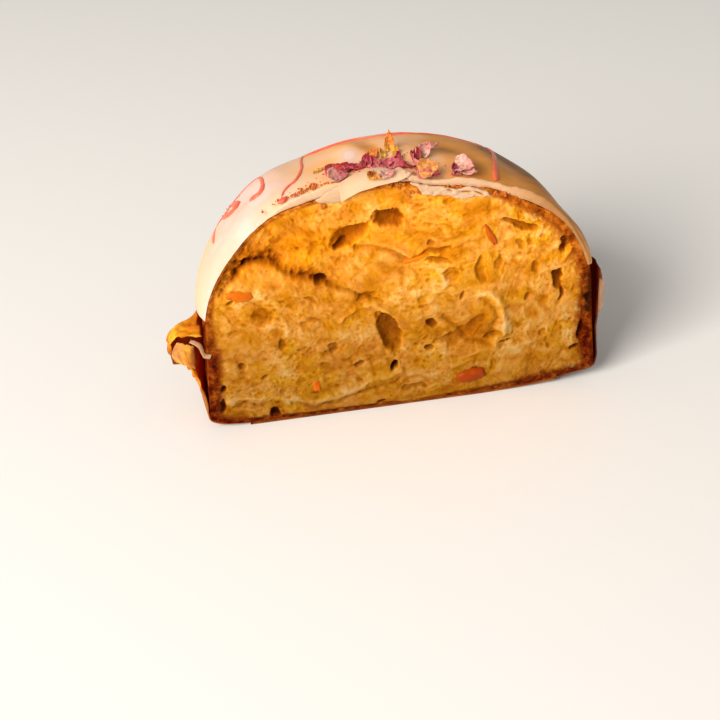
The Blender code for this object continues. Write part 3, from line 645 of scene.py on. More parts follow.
def make_crust(material):
    """The rest of the loaf behind y = 0: half turns of its profile, baked uneven, closed by a flat front."""
    turn = np.linspace(0, math.pi, CRUST_TURNS)[None]
    lean = np.linspace(0, 1, DOME_ROWS) ** 0.7
    dome = DOME_R * np.cos(lean * math.pi / 2) ** (2 / DOME_R_POWER)
    dome = np.stack([dome, dome_height(dome)], -1)
    low = np.linspace(math.pi / 2, 0, CORNER_ROWS)
    floor = WALL_FOOT_R - CORNER_W
    corner = np.stack([floor + CORNER_W * np.cos(low), CORNER_H - (CORNER_H - LOAF_FLOOR) * np.sin(low)], -1)
    wall = np.linspace((WALL_FOOT_R, CORNER_H), (DOME_R, DOME_FOOT), 26)[1:-1]
    profile = np.vstack([[[0.0, LOAF_FLOOR]], corner, wall, dome])
    r, z = profile[:, :1], profile[:, 1:]
    bumps = 0.35 * layered_noise(turn * 18 + 0 * z, z / 5, 7, 3) * np.clip(r / 40, 0, 1) * (z < LOAF_TOP - 2)
    r = (r - 0.25 + 0.6 * np.minimum(bumps, 0.3)).clip(0)
    points = swell(r * np.cos(turn), r * np.sin(turn), z + 0 * turn)
    front = np.stack([points[:, 0], points[:, -1]], 1)
    levels = {"tone": (0.5, 0.5), "crust": (1, 1), "warm": (0, 0), "creamy": (0.5, 0), "painted_shade": (1, 1)}
    levels["bake"] = (0.85, 1)
    fields = {}
    for key, (behind, before) in levels.items():
        fields[key] = [np.full(bumps.shape, float(behind)), np.full(front.shape[:2], float(before))]
    fields["tone"][0] += 0.2 * bumps
    return add_piece("crust", skin("crust", (points, front), fields), material, "crumb", "loaf")


def icing_profile():
    """The underside of the icing from crown to rim: the dome's curve by points, unit normals and lengths."""
    rim = math.asin(((ICING_RIM_Z - DOME_FOOT) / (LOAF_TOP - DOME_FOOT)) ** (DOME_Z_POWER / 2))
    turn = np.linspace(math.pi / 2, rim, 400)
    radius = (DOME_R + ICING_GAP) * np.cos(turn).clip(0) ** (2 / DOME_R_POWER)
    height = DOME_FOOT + (LOAF_TOP - DOME_FOOT + ICING_GAP) * np.sin(turn) ** (2 / DOME_Z_POWER)
    step_r, step_z = np.gradient(radius), np.gradient(height)
    size = np.hypot(step_r, step_z)
    run = np.concatenate([[0], np.cumsum(np.hypot(np.diff(radius), np.diff(height)))])
    return radius, height, -step_z / size, step_r / size, run


# Waves in the icing in plan: centre x and y, half width, half depth, height
ICING_WAVES = (
    (-17, 22, 7, 15, 1.5),
    (-5, 19, 6, 11, -1.5),
    (14, 1, 8, 8, 0.8),
    (30, 13, 9, 8, -1.3),
    (41, -3, 5, 8, -0.9),
    (49, 6, 5, 15, 0.8),
    (58, 16, 5, 13, -1.2),
    (71, 8, 6, 15, 1.1),
    (79, 12, 8, 28, -3.6),
    (66, 24, 9, 20, -1.0),
    (-66, 14, 9, 9, -0.7),
    (-52, 20, 6, 12, 0.8),
    (-26, 54, 20, 12, -2.2),
    (24, 56, 12, 14, -1.1),
    (56, 48, 10, 12, 1.0),
    (-56, 50, 12, 12, -1.2),
    (6, 78, 16, 8, -0.9),
)
# How far the icing's outside rolls over towards the cut, by x: 0 is a square edge, 1 is none left
ROLL_AT = (-95, -70, -58, -50, -40, -28, -20, 2, 10, 36, 46, 60, 80, 95)
ROLL = (0.8, 0.85, 0.8, 0.4, 0.2, 0.05, 0.3, 0.55, 0.75, 0.7, 0.4, 0.2, 0.3, 0.6)
# How raw and broken the edge of the icing looks along the cut, by x
BROKEN_AT = (-62, -52, -26, -16, 0, 14, 45, 56)
BROKEN = (0, 1, 1, 0.3, 0.5, 0.8, 0.8, 0.16)

PROFILE_R, PROFILE_Z, PROFILE_NR, PROFILE_NZ, PROFILE_RUN = icing_profile()


def icing_thickness(share):
    """Thick on the crown, thin at the rim."""
    return ICING_TOP_T + (ICING_RIM_T - ICING_TOP_T) * share**2.2


def icing_lumps(x, y):
    """Height of the icing's waves: two crossed sines, a dip, a thin place by the crown, the named waves."""
    roll = np.sin(x / 9 + 1.3 * np.sin(y / 13)) + 0.8 * np.sin(y / 7.5 + x / 17)
    fade = np.clip((88 - np.hypot(x, y)) / 20, 0, 1)
    dip = bump_at(x, y, -38, 30, 16, 24)
    thin = bump_at(x, y, 30, CUT, 28, 11)
    return with_spots(0.45 * roll * fade - 1.5 * dip - 1.8 * thin, x, y, ICING_WAVES)


def icing_point(run, turn, lift):
    """A point of the icing: along the profile by length, round by angle, out by a share of the thickness.

    Near the rim it slides up or down the dome in long drips, and its outside has the waves of the icing.
    """
    radius, height = np.interp(run, PROFILE_RUN, PROFILE_R), np.interp(run, PROFILE_RUN, PROFILE_Z)
    out_r, out_z = np.interp(run, PROFILE_RUN, PROFILE_NR), np.interp(run, PROFILE_RUN, PROFILE_NZ)
    share = run / PROFILE_RUN[-1]
    x, y = radius * np.cos(turn), radius * np.sin(turn)
    roll = np.interp(x, ROLL_AT, ROLL) * np.exp(-(((y - CUT).clip(0) / 4.2) ** 1.4))
    slim = 0.6 * ramp(x, 73, 84) * ramp(y, CUT + 1, CUT + 12)
    thick = icing_thickness(share) * lift * (1 - roll) * (1 - slim)
    radius, height = radius + out_r * thick, height + out_z * thick
    low = np.clip((78 - height) / 14, 0, 1)
    slide = low * (2.0 * np.cos(turn) + 0.6 * np.sin(5 * turn + 0.8) + 0.5 * np.sin(11 * turn - 0.4))
    radius = radius + dome_radius(height + slide) - dome_radius(height)
    x, y = radius * np.cos(turn), radius * np.sin(turn)
    return np.stack([x, y, height + slide + icing_lumps(x, y) * lift * (1 - roll) * (height > 60)], -1)


def icing_top(x, y):
    """Height of the icing's outside over a place in plan."""
    run = np.linspace(0, PROFILE_RUN[-1], 500)
    thick = icing_thickness(run / run[-1])
    outer_r = np.interp(run, PROFILE_RUN, PROFILE_R) + np.interp(run, PROFILE_RUN, PROFILE_NR) * thick
    outer_z = np.interp(run, PROFILE_RUN, PROFILE_Z) + np.interp(run, PROFILE_RUN, PROFILE_NZ) * thick
    z = np.interp(np.hypot(x, y), outer_r, outer_z) + icing_lumps(x, y)
    return swell(x, y, z)[..., 2]


def rounded_rim(outer, inner, bulge, steps=7):
    """Rings from the rim of one grid to the rim of another, bellied outwards by a half sine."""
    rim_out, rim_in = rim_of(outer), rim_of(inner)
    outward = rim_out - rim_of(np.pad(outer[1:-1, 1:-1], ((1, 1), (1, 1), (0, 0)), mode="edge"))
    outward /= np.linalg.norm(outward, axis=-1, keepdims=True).clip(1e-6)
    step = np.linspace(0, 1, steps)[:, None, None]
    return rim_out * (1 - step) + rim_in * step + outward * bulge * np.sin(math.pi * step)


def make_icing(material):
    """The icing: two sheets over a grid of the half dome spread flat, joined by a rounded edge."""
    limit = PROFILE_RUN[-1]
    widest = math.sqrt(PROFILE_R[-1] ** 2 - CUT**2)
    x = np.linspace(-widest, widest, 900)
    run = np.interp(np.hypot(x, CUT), PROFILE_R, PROFILE_RUN)
    turn = np.arctan2(CUT, x)
    cut = np.stack([run * np.cos(turn), run * np.sin(turn)], -1)
    end = math.asin(-CUT / PROFILE_R[-1])

    def arc(start, stop, count):
        angle = np.linspace(start, stop, count)
        return limit * np.stack([np.cos(angle), np.sin(angle)], -1)

    base = evenly(cut, ICING_COLUMNS)
    top = arc(math.radians(145), math.radians(35), ICING_COLUMNS)
    left = arc(math.pi + end, math.radians(145), ICING_ROWS)
    right = arc(-end, math.radians(35), ICING_ROWS)
    plan = coons(base, top, left, right)
    run, turn = np.hypot(plan[..., 0], plan[..., 1]), np.arctan2(plan[..., 1], plan[..., 0])
    turn = np.where(turn < -math.pi / 2, turn + 2 * math.pi, turn)
    share = np.linspace(0, 1, ICING_ROWS)[:, None]
    outer, inner = icing_point(run, turn, 1.0), icing_point(run, turn, 0.0)
    ragged = 0.35 * layered_noise(outer[:1, :, 0] / 4, outer[:1, :, 2] / 4, 57, 3)
    for sheet in (outer, inner):
        sheet[..., 1] += (CUT + 0.3 + ragged - sheet[:1, :, 1]) * (1 - share) ** 8
    rim = rounded_rim(outer, inner, 0.3)
    outer, inner, rim = (swell(p[..., 0], p[..., 1], p[..., 2]) for p in (outer, inner, rim))
    torn = (rim[..., 1] < CUT + 1.5) * np.interp(rim[..., 0], BROKEN_AT, BROKEN)
    fields = {
        "broken": (0 * outer[..., 0], 0 * inner[..., 0], torn),
        "tan": tuple(icing_tan_and_shade(p) for p in (outer, inner, rim)),
    }
    return add_piece("icing_coat", skin("icing", (outer, inner, rim), fields), material, "icing", "icing")


# Patches of the icing in plan, partly its own colour and partly painted light and shade on its waves and
# down the right: centre x and y, half width, half depth, how much browner (paler below nought)
ICING_PATCHES = (
    (-18, 11, 5, 9, -0.34),
    (-6.6, 17.7, 6, 9, 0.3),
    (29, 12, 8, 7, 0.24),
    (16, -5, 8, 6, -0.16),
    (40, -6, 6, 9, 0.12),
    (50, 20, 5, 12, 0.2),
    (-30, 30, 14, 10, 0.1),
    (6, 24, 12, 8, -0.1),
    (58, -2, 5, 9, -0.14),
    (72, 18, 16, 20, 0.3),
    (56, 28, 8, 8, 0.12),
    (24, 22, 8, 6, 0.16),
)
# How tan the icing is between the patches, by x: partly its own caramel, partly painted light on the left
# and painted shade down the right
TAN_AND_SHADE_AT = (-100, -84, -64, -30, 5, 30, 60, 100)
TAN_AND_SHADE = (0.16, 0.12, 0.0, 0.3, 0.42, 0.6, 0.78, 0.7)


def icing_tan_and_shade(points):
    """How tan the icing is, from 0 to 1: pale on the left, tan over the crown, brown down the right.

    It is partly the icing's own caramel and partly painted light on the left and painted shade on the right.
    """
    x, y = points[..., 0], points[..., 1]
    patchy = with_spots(0.12 * layered_noise(x / 15, y / 11, 71, 3), x, y, ICING_PATCHES)
    return np.clip(np.interp(x, TAN_AND_SHADE_AT, TAN_AND_SHADE) + patchy, 0, 1)


# Lines of drizzle in plan: points x and y, then half widths spread along the line
DRIZZLE = (
    (((-35, 35), (-37.5, 33), (-39, 24), (-39.6, 16), (-42, 6), (-45, -0.7), (-48, -3.4), (-51, -7),
      (-52.3, -10)),
     (0.5, 0.6, 0.7, 0.8, 0.8, 0.9, 0.8, 0.6, 0.3)),
    (((-50.4, -12.0), (-52, -13.2), (-54.6, -14.0)), (0.5, 1.5, 0.9)),
    (((-60.4, 36), (-58.6, 26), (-58.6, 16), (-59.8, 8), (-61.6, 4.4), (-64.2, 5.4), (-64.8, 8.4)),
     (0.5, 0.7, 0.9, 1.3, 1.9, 1.8, 0.9)),
    (((-59.6, 33), (-62.4, 34), (-65.4, 33.4), (-69, 31), (-72.2, 28), (-75.6, 25), (-78.6, 22),
      (-80.4, 23), (-82.4, 20)),
     (0.8, 0.8, 0.8, 0.8, 0.9, 1.0, 1.2, 1.0, 0.5)),
    (((-74.6, 32), (-72.6, 24), (-71.6, 17), (-73.6, 13.4), (-76.4, 17), (-77.8, 22)),
     (0.8, 1.2, 2.0, 2.2, 1.8, 1.0)),
    (((-82.6, 21), (-84.2, 12), (-84.6, 4)), (0.6, 0.9, 0.4)),
    (((-38, 34), (-30, 36), (-20, 36), (-6, 37.5), (4, 35), (12, 36.6), (18, 37.5), (32, 41.5), (46, 41.5),
      (53, 36)),
     (0.6, 0.8, 0.9, 0.9, 1.3, 1.5, 0.9, 0.8, 1.0, 0.8)),
    (((53, 36), (54.5, 30), (54.0, 22), (52, 13), (50.4, 5), (48.4, -3), (46.8, -10), (46.2, -13)),
     (1.0, 1.2, 1.2, 1.1, 1.0, 1.2, 1.4, 0.8)),
    (((70, 34), (58, 50), (30, 60), (-4, 62), (-34, 57), (-56, 50)), (0.6, 0.9, 0.8, 1.0, 0.9, 0.6)),
    (((66, 52), (44, 72), (8, 82), (-30, 78), (-60, 62)), (0.5, 0.9, 1.1, 0.9, 0.5)),
)


def smooth_path(points, count):
    """A route through its points as a cubic curve whose slope at each is the mean of those either side."""
    points = np.asarray(points, float)
    knots = np.arange(len(points))
    slope = np.gradient(points, axis=0)
    at = np.linspace(0, len(points) - 1, count)
    k = np.minimum(at.astype(int), len(points) - 2)
    t = (at - knots[k])[:, None]
    a, b, m, n = points[k], points[k + 1], slope[k], slope[k + 1]
    return a + t * m + t**2 * (3 * (b - a) - 2 * m - n) + t**3 * (2 * (a - b) + m + n)


def ribbon(path, half, squash, ground):
    """A line laid on a surface: flattened rings along a path in plan, shrinking to closed ends."""
    step = np.gradient(path, axis=0)
    step /= np.linalg.norm(step, axis=1, keepdims=True)
    side = np.stack([-step[:, 1], step[:, 0]], -1)
    around = np.linspace(0, 2 * math.pi, 15)
    ends = np.sqrt(np.clip(1 - np.linspace(-1, 1, len(path)) ** 16, 0, 1))
    half = half * ends
    across = half[:, None] * np.cos(around)
    plan = path[:, None, :] + side[:, None, :] * across[..., None]
    high = half[:, None] * squash * np.sin(around)
    z = ground(plan[..., 0], plan[..., 1]) + high + 0.05
    return np.stack([plan[..., 0], plan[..., 1], z], -1)


def make_drizzle(material):
    """Every line of drizzle as a ribbon on the icing."""
    patches = []
    for points, halves in DRIZZLE:
        count = 14 * len(points)
        path = smooth_path(points, count)
        wave = 1 + 0.12 * soft_noise(np.arange(count) / 5.0, np.zeros(count) + len(points), 3)
        half = np.interp(np.linspace(0, 1, count), np.linspace(0, 1, len(halves)), halves) * wave
        patches.append(ribbon(path, half, 0.62, icing_top))
    return add_piece("drizzle", skin("drizzle", patches), material, "icing", "icing")


# The slumped plate of icing: upper edge in plan with its height over the icing, and lower edge, x, y and z
SLUMPED_BACK = (
    (-26.5, -15.4, 0.0), (-22.0, -13.0, 0.6), (-16.5, -9.8, 1.0), (-11.0, -8.0, 1.2), (-5.5, -8.4, 1.2),
    (-1.5, -10.8, 1.3), (2.0, -10.0, 1.5), (5.4, -13.6, 0.8),
)
SLUMPED_FRONT = (
    (-26.2, -16.6, 114.6), (-21.4, -17.5, 117.3), (-16.2, -17.8, 119.6), (-9.8, -17.8, 121.0),
    (-3.4, -17.7, 121.6), (1.2, -17.4, 122.4), (4.4, -16.8, 123.3), (6.0, -15.6, 124.0),
)
# Broken edges of icing seen on the cut, and the stuck strip: lower and upper line, x and z, left to right
WEDGE_LOW = (
    (-37.5, 115.6), (-35.6, 114.9), (-31.3, 113.9), (-26.7, 114.1), (-24.0, 115.3),
)
WEDGE_HIGH = (
    (-37.5, 116.3), (-35.2, 117.4), (-30.9, 119.8), (-27.2, 121.4), (-24.2, 121.9),
)
CREST_LOW = (
    (3.6, 123.4), (4.2, 121.6), (6.1, 119.9), (10.2, 118.9), (14.8, 117.7), (21.7, 116.6), (28.7, 115.4),
    (35.2, 113.9), (42.0, 112.7), (47.4, 110.3), (52.1, 107.9), (56.9, 105.3), (63.0, 102.3),
    (68.9, 98.6), (74.0, 94.6), (78.8, 90.0), (82.6, 84.6), (86.0, 78.5), (89.2, 71.0), (90.8, 66.0),
)
CREST_HIGH = (
    (3.3, 125.2), (4.8, 123.9), (6.5, 122.8), (9.4, 121.8), (14.9, 119.9), (19.9, 119.0), (27.6, 119.0),
    (35.2, 117.6), (42.0, 115.2), (47.4, 113.4), (52.0, 111.4), (57.2, 109.9), (63.8, 106.6),
    (69.8, 102.6), (75.0, 97.6), (79.6, 92.2), (83.6, 86.2), (87.4, 79.2), (90.8, 71.6), (92.0, 66.4),
)
STUCK_LOW = (
    (5.6, 119.0), (9.0, 116.4), (11.2, 113.0), (15.6, 111.9), (21.6, 111.0), (25.4, 109.6), (30.6, 108.0),
    (35.6, 109.0), (38.6, 108.2), (42.4, 107.8),
)
STUCK_HIGH = (
    (6.1, 119.6), (10.2, 117.9), (14.8, 116.6), (21.7, 115.1), (25.4, 113.6), (29.4, 113.4),
    (33.3, 113.7), (37.4, 112.3), (40.8, 110.6), (42.8, 108.6),
)
# Slits in the stuck strip: centre x and z, half width, half height, tilt
STUCK_SLITS = ((31.6, 111.6, 3.0, 0.55, -6), (37.6, 110.2, 3.2, 0.5, -28), (24.0, 113.2, 1.6, 0.4, -30))
# The broken edges: name, lower and upper line, points along, how far they stand out, thickness, waves
BROKEN_EDGES = (
    ("wedge", WEDGE_LOW, WEDGE_HIGH, 60, 0.5, 0.7, 0.12),
    ("crest", CREST_LOW, CREST_HIGH, 260, 0.8, 0.9, 0.15),
)


def tapered_plate(name, points, thickness, broken, tan):
    """A thin slab of icing under a grid of points, thinning to a rounded rim, browner to the right.

    The browning to the right, with less of the broken edge's pale colour, is painted shade.
    """
    rows, columns = points.shape[:2]
    u = np.abs(np.linspace(-1, 1, columns))[None]
    v = np.abs(np.linspace(-1, 1, rows))[:, None]
    thin = thickness * (1 - 0.7 * np.maximum(u, v) ** 6)
    inner = points.copy()
    inner[..., 2] -= thin
    inner[..., 1] += 0.5 * thin
    patches = (points, inner, rounded_rim(points, inner, 0.25, 5))
    # Painted shade: browner and less pale towards the right
    shaded_right = [ramp(patch[..., 0], 34, 76) for patch in patches]
    fields = {
        "broken": [broken * (1 - 0.75 * far) for far in shaded_right],
        "tan": [tan + 0.44 * far for far in shaded_right],
    }
    return skin(name, patches, fields)


def plate_between(back, front, belly, rise, waves):
    """A grid of rows from one edge to another, bellied forwards and up by a half sine, with slow waves."""
    back, front = smooth_path(back, PLATE_COLUMNS), smooth_path(front, PLATE_COLUMNS)
    back[:, 2] += icing_top(back[:, 0], back[:, 1].clip(CUT))
    down = np.linspace(0, 1, PLATE_ROWS)[:, None]
    points = back[None] * (1 - down[..., None]) + front[None] * down[..., None]
    round_off = np.sin(math.pi * down) * (0.3 + np.sin(math.pi * np.linspace(0, 1, PLATE_COLUMNS)))
    slow = layered_noise(points[..., 0] / 6, down * 2 + 0 * round_off, 33, 2)
    points[..., 1] -= belly * round_off
    points[..., 2] += rise * round_off + waves * slow
    return points


def strip_between(low, high, columns, rows, ragged, unit, seed):
    """Places on the cut in straight rows between two lines, with ragged long rims.

    It gives x, z, the place across from -1 to 1, and how far apart the lines are.
    """
    low, high = smooth_path(low, columns), smooth_path(high, columns)
    across = np.linspace(-1, 1, rows)[:, None]
    share = (across + 1) / 2
    x = low[:, 0] * (1 - share) + high[:, 0] * share
    z = low[:, 1] * (1 - share) + high[:, 1] * share
    z = z + ragged * layered_noise(x / unit, 0 * z, seed, 3) * np.abs(across)
    return x, z, across, np.abs(high - low).sum(-1)


def edge_strip(name, low, high, columns, proud, thickness, waves):
    """A half-round strip of icing on the cut between two lines: its belly stands forward of the cut."""
    x, z, across, wide = strip_between(low, high, columns, 17, 0.25, 2.5, 41)
    belly = np.sqrt(np.clip(1 - across**2, 0, 1)) * np.clip(wide / 3.5, 0.2, 1)
    y = CUT - 0.35 - proud * belly - waves * layered_noise(x / 3.2, z / 1.5, 43, 3)
    return tapered_plate(name, np.stack([x, y, z], -1), thickness, 0.85, 0.5)


def make_slumped(material):
    """A plate of icing that has tipped over the cut edge, and the broken edges either side of it."""
    plate = plate_between(SLUMPED_BACK, SLUMPED_FRONT, 0.9, 1.2, 0.25)
    mesh = tapered_plate("slumped", plate, 1.3, 0.45, 0.2)
    add_piece("icing_slumped", mesh, material, "icing", "icing_flake_slumped")
    for name, low, high, columns, proud, thickness, waves in BROKEN_EDGES:
        mesh = edge_strip(name, low, high, columns, proud, thickness, waves)
        add_piece("icing_" + name, mesh, material, "icing", "icing")


def make_stuck(material):
    """A thin wrinkled strip of icing left on the crumb: a flat band with a rolled rim and open slits."""
    x, z, across, _ = strip_between(STUCK_LOW, STUCK_HIGH, 170, 31, 0.3, 2.2, 44)
    slit = np.zeros(x.shape)
    for cx, cz, half_w, half_h, tilt in STUCK_SLITS:
        u, v = turned_axes(x - cx, z - cz, tilt, half_w, half_h)
        slit = np.maximum(slit, np.exp(-(u**4) - v**2))
    flat = 0.5 * np.sqrt(np.clip(1 - across**4, 0, 1))
    y = CUT - 0.8 - flat + 0.9 * slit - 0.3 * layered_noise(x / 2.4, z / 1.3, 6, 3)
    points = np.stack([x, y, z], -1)
    inner = points + np.array([0.0, 0.75, 0.0])
    rim = rounded_rim(points, inner, 0.2, 5)
    fields = {
        "broken": (0.95 * (1 - slit), 0 * x, np.full(rim.shape[:2], 0.9)),
        "tan": (0.1 + 0.9 * slit, 0 * x, np.full(rim.shape[:2], 0.1)),
    }
    mesh = skin("stuck", (points, inner, rim), fields)
    return add_piece("icing_stuck", mesh, material, "icing", "icing_flake_stuck")


# Petals: solid node, colour, x, y, length, width, heading, pitch and roll in degrees, how far it is rolled
# up in radians, ruffle, lift
PETALS = (
    ("petal_crimson", "crimson", -24.2, -3.4, 14.5, 6.4, 10, -6, 42, 2.4, 0.8, 0.5),
    ("petal_crimson", "magenta", -19.6, -4.6, 7.0, 4.4, -30, -14, -20, 1.8, 0.9, 0.4),
    ("petal_crimson", "magenta", -23.5, -7.0, 9.0, 4.6, 16, -4, -24, 1.8, 0.7, 0.2),
    ("petal_blush_left", "faded", -26.4, -10.6, 9.5, 6.6, 14, 3, 34, 1.6, 0.7, 0.3),
    ("petal_magenta", "magenta", -11.6, -0.8, 8.0, 6.0, 62, -34, 20, 2.2, 0.9, 0.3),
    ("petal_magenta", "magenta", -9.0, -2.6, 7.5, 5.5, 110, -24, -16, 1.8, 0.9, 0.3),
    ("petal_magenta", "crimson", -14.6, -3.4, 7.0, 4.0, 20, -8, 10, 1.8, 0.7, 0.2),
    ("petal_amber", "orange", -7.6, 4.6, 7.5, 5.5, 30, -26, 8, 1.3, 0.7, 0.3),
    ("petal_amber", "gold", -3.4, 4.0, 5.0, 2.6, 100, -40, 0, 1.6, 0.5, 0.3),
    ("petal_mauve", "magenta", -2.6, -4.6, 9.5, 5.6, 14, -12, 30, 2.0, 0.9, 0.3),
    ("petal_mauve", "magenta", 1.8, -7.0, 8.6, 5.4, -22, -10, 34, 1.8, 0.9, 0.4),
    ("petal_mauve", "magenta", 2.6, -2.4, 7.0, 4.0, 58, -30, 12, 1.6, 0.8, 0.3),
    ("petal_mauve", "crimson", 6.4, -8.6, 8.0, 4.2, -6, 2, -20, 1.6, 0.5, 0.1),
    ("petal_orange_upright", "orange", 1.4, 10.4, 10.0, 4.6, 82, -58, 0, 1.5, 0.6, 0.3),
    ("petal_gold", "gold", 3.4, 3.9, 6.0, 2.8, 70, -38, 0, 1.2, 0.5, 0.3),
    ("petal_orange_front", "orange", -12.2, -16.4, 6.8, 5.0, 66, -6, 34, 2.0, 0.7, 0.9),
    ("petal_orange_front", "orange", -9.4, -17.0, 5.0, 3.6, 118, 0, 30, 1.4, 0.6, 0.4),
    ("petal_pink_front", "pink", -4.4, -16.4, 6.8, 5.0, 22, -8, 34, 1.8, 0.6, 1.0),
    ("petal_pink_front", "faded", -7.0, -16.8, 4.6, 3.6, -30, 0, 30, 1.4, 0.6, 0.6),
    ("petal_claret", "magenta", 9.8, -5.4, 12.5, 8.0, 98, -20, 38, 2.3, 0.8, 0.3),
    ("petal_claret", "apricot", 14.8, -13.0, 9.6, 9.4, 6, -10, 58, 2.2, 0.6, 1.0),
    ("petal_claret", "magenta", 14.4, -15.4, 10.0, 4.6, -8, -2, 30, 2.1, 0.5, 0.0),
    ("petal_rose_back", "pink", 16.4, 2.6, 10.0, 6.6, 48, -26, 20, 1.9, 0.7, 0.3),
    ("petal_rose_back", "pink", 21.4, 10.0, 7.0, 4.0, 20, -8, 10, 1.4, 0.6, 0.2),
    ("petal_rose_back", "crimson", 12.2, -0.6, 7.0, 4.4, 76, -30, -10, 1.8, 0.7, 0.3),
    ("petal_blush_right", "pink", 32.4, -8.8, 10.5, 9.4, -42, -8, 30, 1.3, 0.9, 0.3),
    ("petal_blush_right", "magenta", 27.6, -9.4, 8.0, 4.6, 84, -16, 24, 2.0, 0.7, 0.2),
    ("petal_blush_right", "pink", 34.0, -12.0, 8.0, 4.2, -34, -8, 20, 1.8, 0.5, 0.4),
    ("petal_blush_left", "gold", -33.6, 2.7, 5.0, 2.4, 10, -6, 0, 1.2, 0.5, 0.2),
)


def petal_points(length, width, roll_up, ruffle, seed):
    """A petal about its own middle: a leaf outline bent into an arc across its width, with a ruffled rim."""
    u = np.linspace(-1, 1, PETAL_COLUMNS)[:, None]
    v = np.linspace(-1, 1, PETAL_ROWS)[None]
    outline = np.sqrt(np.clip(1.02 - 0.98 * np.abs(u + 0.12) ** 2.6, 0.01, 1)) * (1 - 0.25 * u)
    angle = v * roll_up / 2 * (1 - 0.25 * u)
    radius = width / roll_up
    y = radius * np.sin(angle) * outline
    z = radius * (1 - np.cos(angle)) * outline
    crinkle = layered_noise(2.6 * u + seed, 3.6 * v + 0 * u, seed, 3)
    folds = billows(1.3 * u + 0 * v, 4.5 * v + 0.8 * u, seed + 4) - 0.4
    rim = np.maximum(np.abs(v), np.abs(u)) ** 3
    z = z + ruffle * (crinkle * (0.3 + rim) + 0.7 * folds) + 0.06 * length * u**2
    x = 0.5 * length * u + 0.35 * crinkle * rim
    return np.stack([x + 0 * y, y + 0.3 * crinkle * rim, z], -1), u + 0 * v, v + 0 * u


# Nothing that lies on the icing hangs further forward than about a millimetre beyond this
FOREMOST = -17.0


def make_petals(finishes):
    """Each dried petal laid on the icing: turned by its angles, then set down so that it just touches."""
    for number, spec in enumerate(PETALS):
        solid, colour, px, py, length, width, heading, pitch, roll, roll_up, ruffle, lift = spec
        points, along, across = petal_points(length, width, roll_up, ruffle, number * 3 + 2)
        turn = Matrix.Rotation(math.radians(heading), 3, "Z") @ Matrix.Rotation(math.radians(pitch), 3, "Y")
        turn = np.array(turn @ Matrix.Rotation(math.radians(roll), 3, "X"))
        points = points @ turn.T + np.array([px, py, 0.0])
        gap = points[..., 2] - icing_top(points[..., 0], points[..., 1].clip(CUT))
        points[..., 2] += lift - np.percentile(gap, 6)
        front = (points[..., 1] - FOREMOST).clip(None, 0)
        points[..., 1] = np.maximum(points[..., 1], FOREMOST) + 1.4 * np.tanh(front / 1.4)
        mesh = skin(solid, (points,), {"along": (along,), "across": (across,)})
        material, slot = finishes[colour]
        thicken(add_piece("%s_%d" % (solid, number), mesh, material, slot, solid), 0.26)


# Crumbs: middle x and y (or z on the cut), spread each way, how many, size, kind from 0 brown to 1 magenta
CRUMBS_ON_TOP = (
    (-43.5, -13.2, 3.6, 0.8, 46, 0.42, 0.15),
    (-39.5, -11.0, 3.2, 1.6, 40, 0.36, 0.3),
    (-53.0, -12.6, 4.5, 1.2, 30, 0.32, 0.4),
    (-31.0, -12.6, 3.4, 0.7, 18, 0.3, 0.1),
    (-18.0, -4.0, 8.0, 2.6, 34, 0.36, 0.6),
    (-5.0, 1.5, 8.0, 4.0, 46, 0.4, 0.55),
    (10.0, -10.0, 6.0, 2.4, 26, 0.36, 0.5),
    (28.0, -9.0, 7.0, 4.0, 16, 0.3, 0.7),
    (-74.0, 26.0, 3.0, 4.0, 14, 0.32, 0.4),
)
CRUMBS_ON_CUT = (
    (0.0, 119.2, 2.8, 0.6, 14, 0.5, 0.05),
    (7.6, 115.0, 2.4, 1.2, 18, 0.6, 0.05),
    (25.0, 115.0, 3.0, 0.4, 14, 0.45, 0.05),
    (47.5, 108.6, 3.0, 1.0, 16, 0.55, 0.05),
    (-34.5, 112.6, 0.4, 0.9, 6, 0.6, 0.1),
)


def make_crumbs(material):
    """Loose crumbs and petal dust: small uneven balls in a normal spread on the icing and below its edge."""
    chance = np.random.default_rng(20)
    ball = ball_points(5, 7)
    patches, kinds = [], []
    for upright, groups in ((False, CRUMBS_ON_TOP), (True, CRUMBS_ON_CUT)):
        for cx, cy, wide, tall, count, size, kind in groups:
            for _ in range(count):
                a, b = cx + wide * chance.normal(), cy + tall * chance.normal()
                scale = size * chance.uniform(0.5, 1.5) * chance.uniform(0.6, 1.4, 3)
                if upright:
                    middle = np.array([a, CUT - 0.1 - 0.6 * chance.random(), b])
                else:
                    b = max(b, CUT + 0.4)
                    middle = np.array([a, b, float(icing_top(np.array(a), np.array(b))) + 0.4 * scale[2]])
                patches.append(middle + ball * scale)
                kinds.append(np.full(ball.shape[:2], np.clip(kind + 0.25 * chance.normal(), 0, 1)))
    mesh = skin("crumbs", patches, {"kind": kinds})
    return add_piece("crumbs", mesh, material, "crumb")


# Peel on the cut face: number, centre x and z, half width, half height, tilt in degrees, how far it stands
# out and how ripe its colour is
PEEL = (
    (1, 33.0, 11.6, 7.8, 3.6, 8, 1.7, 0.05),
    (2, 80.0, 72.2, 1.5, 6.0, -32, 1.1, 0.7),
    (3, 43.0, 89.6, 2.1, 8.0, 24, 0.8, 0.35),
    (4, -75.5, 72.4, 7.0, 3.0, -3, 0.9, 0.45),
    (5, -43.3, 17.2, 1.9, 3.6, 0, 1.0, 0.4),
    (6, 8.0, 80.6, 8.6, 1.6, 12, 0.6, 0.6),
)


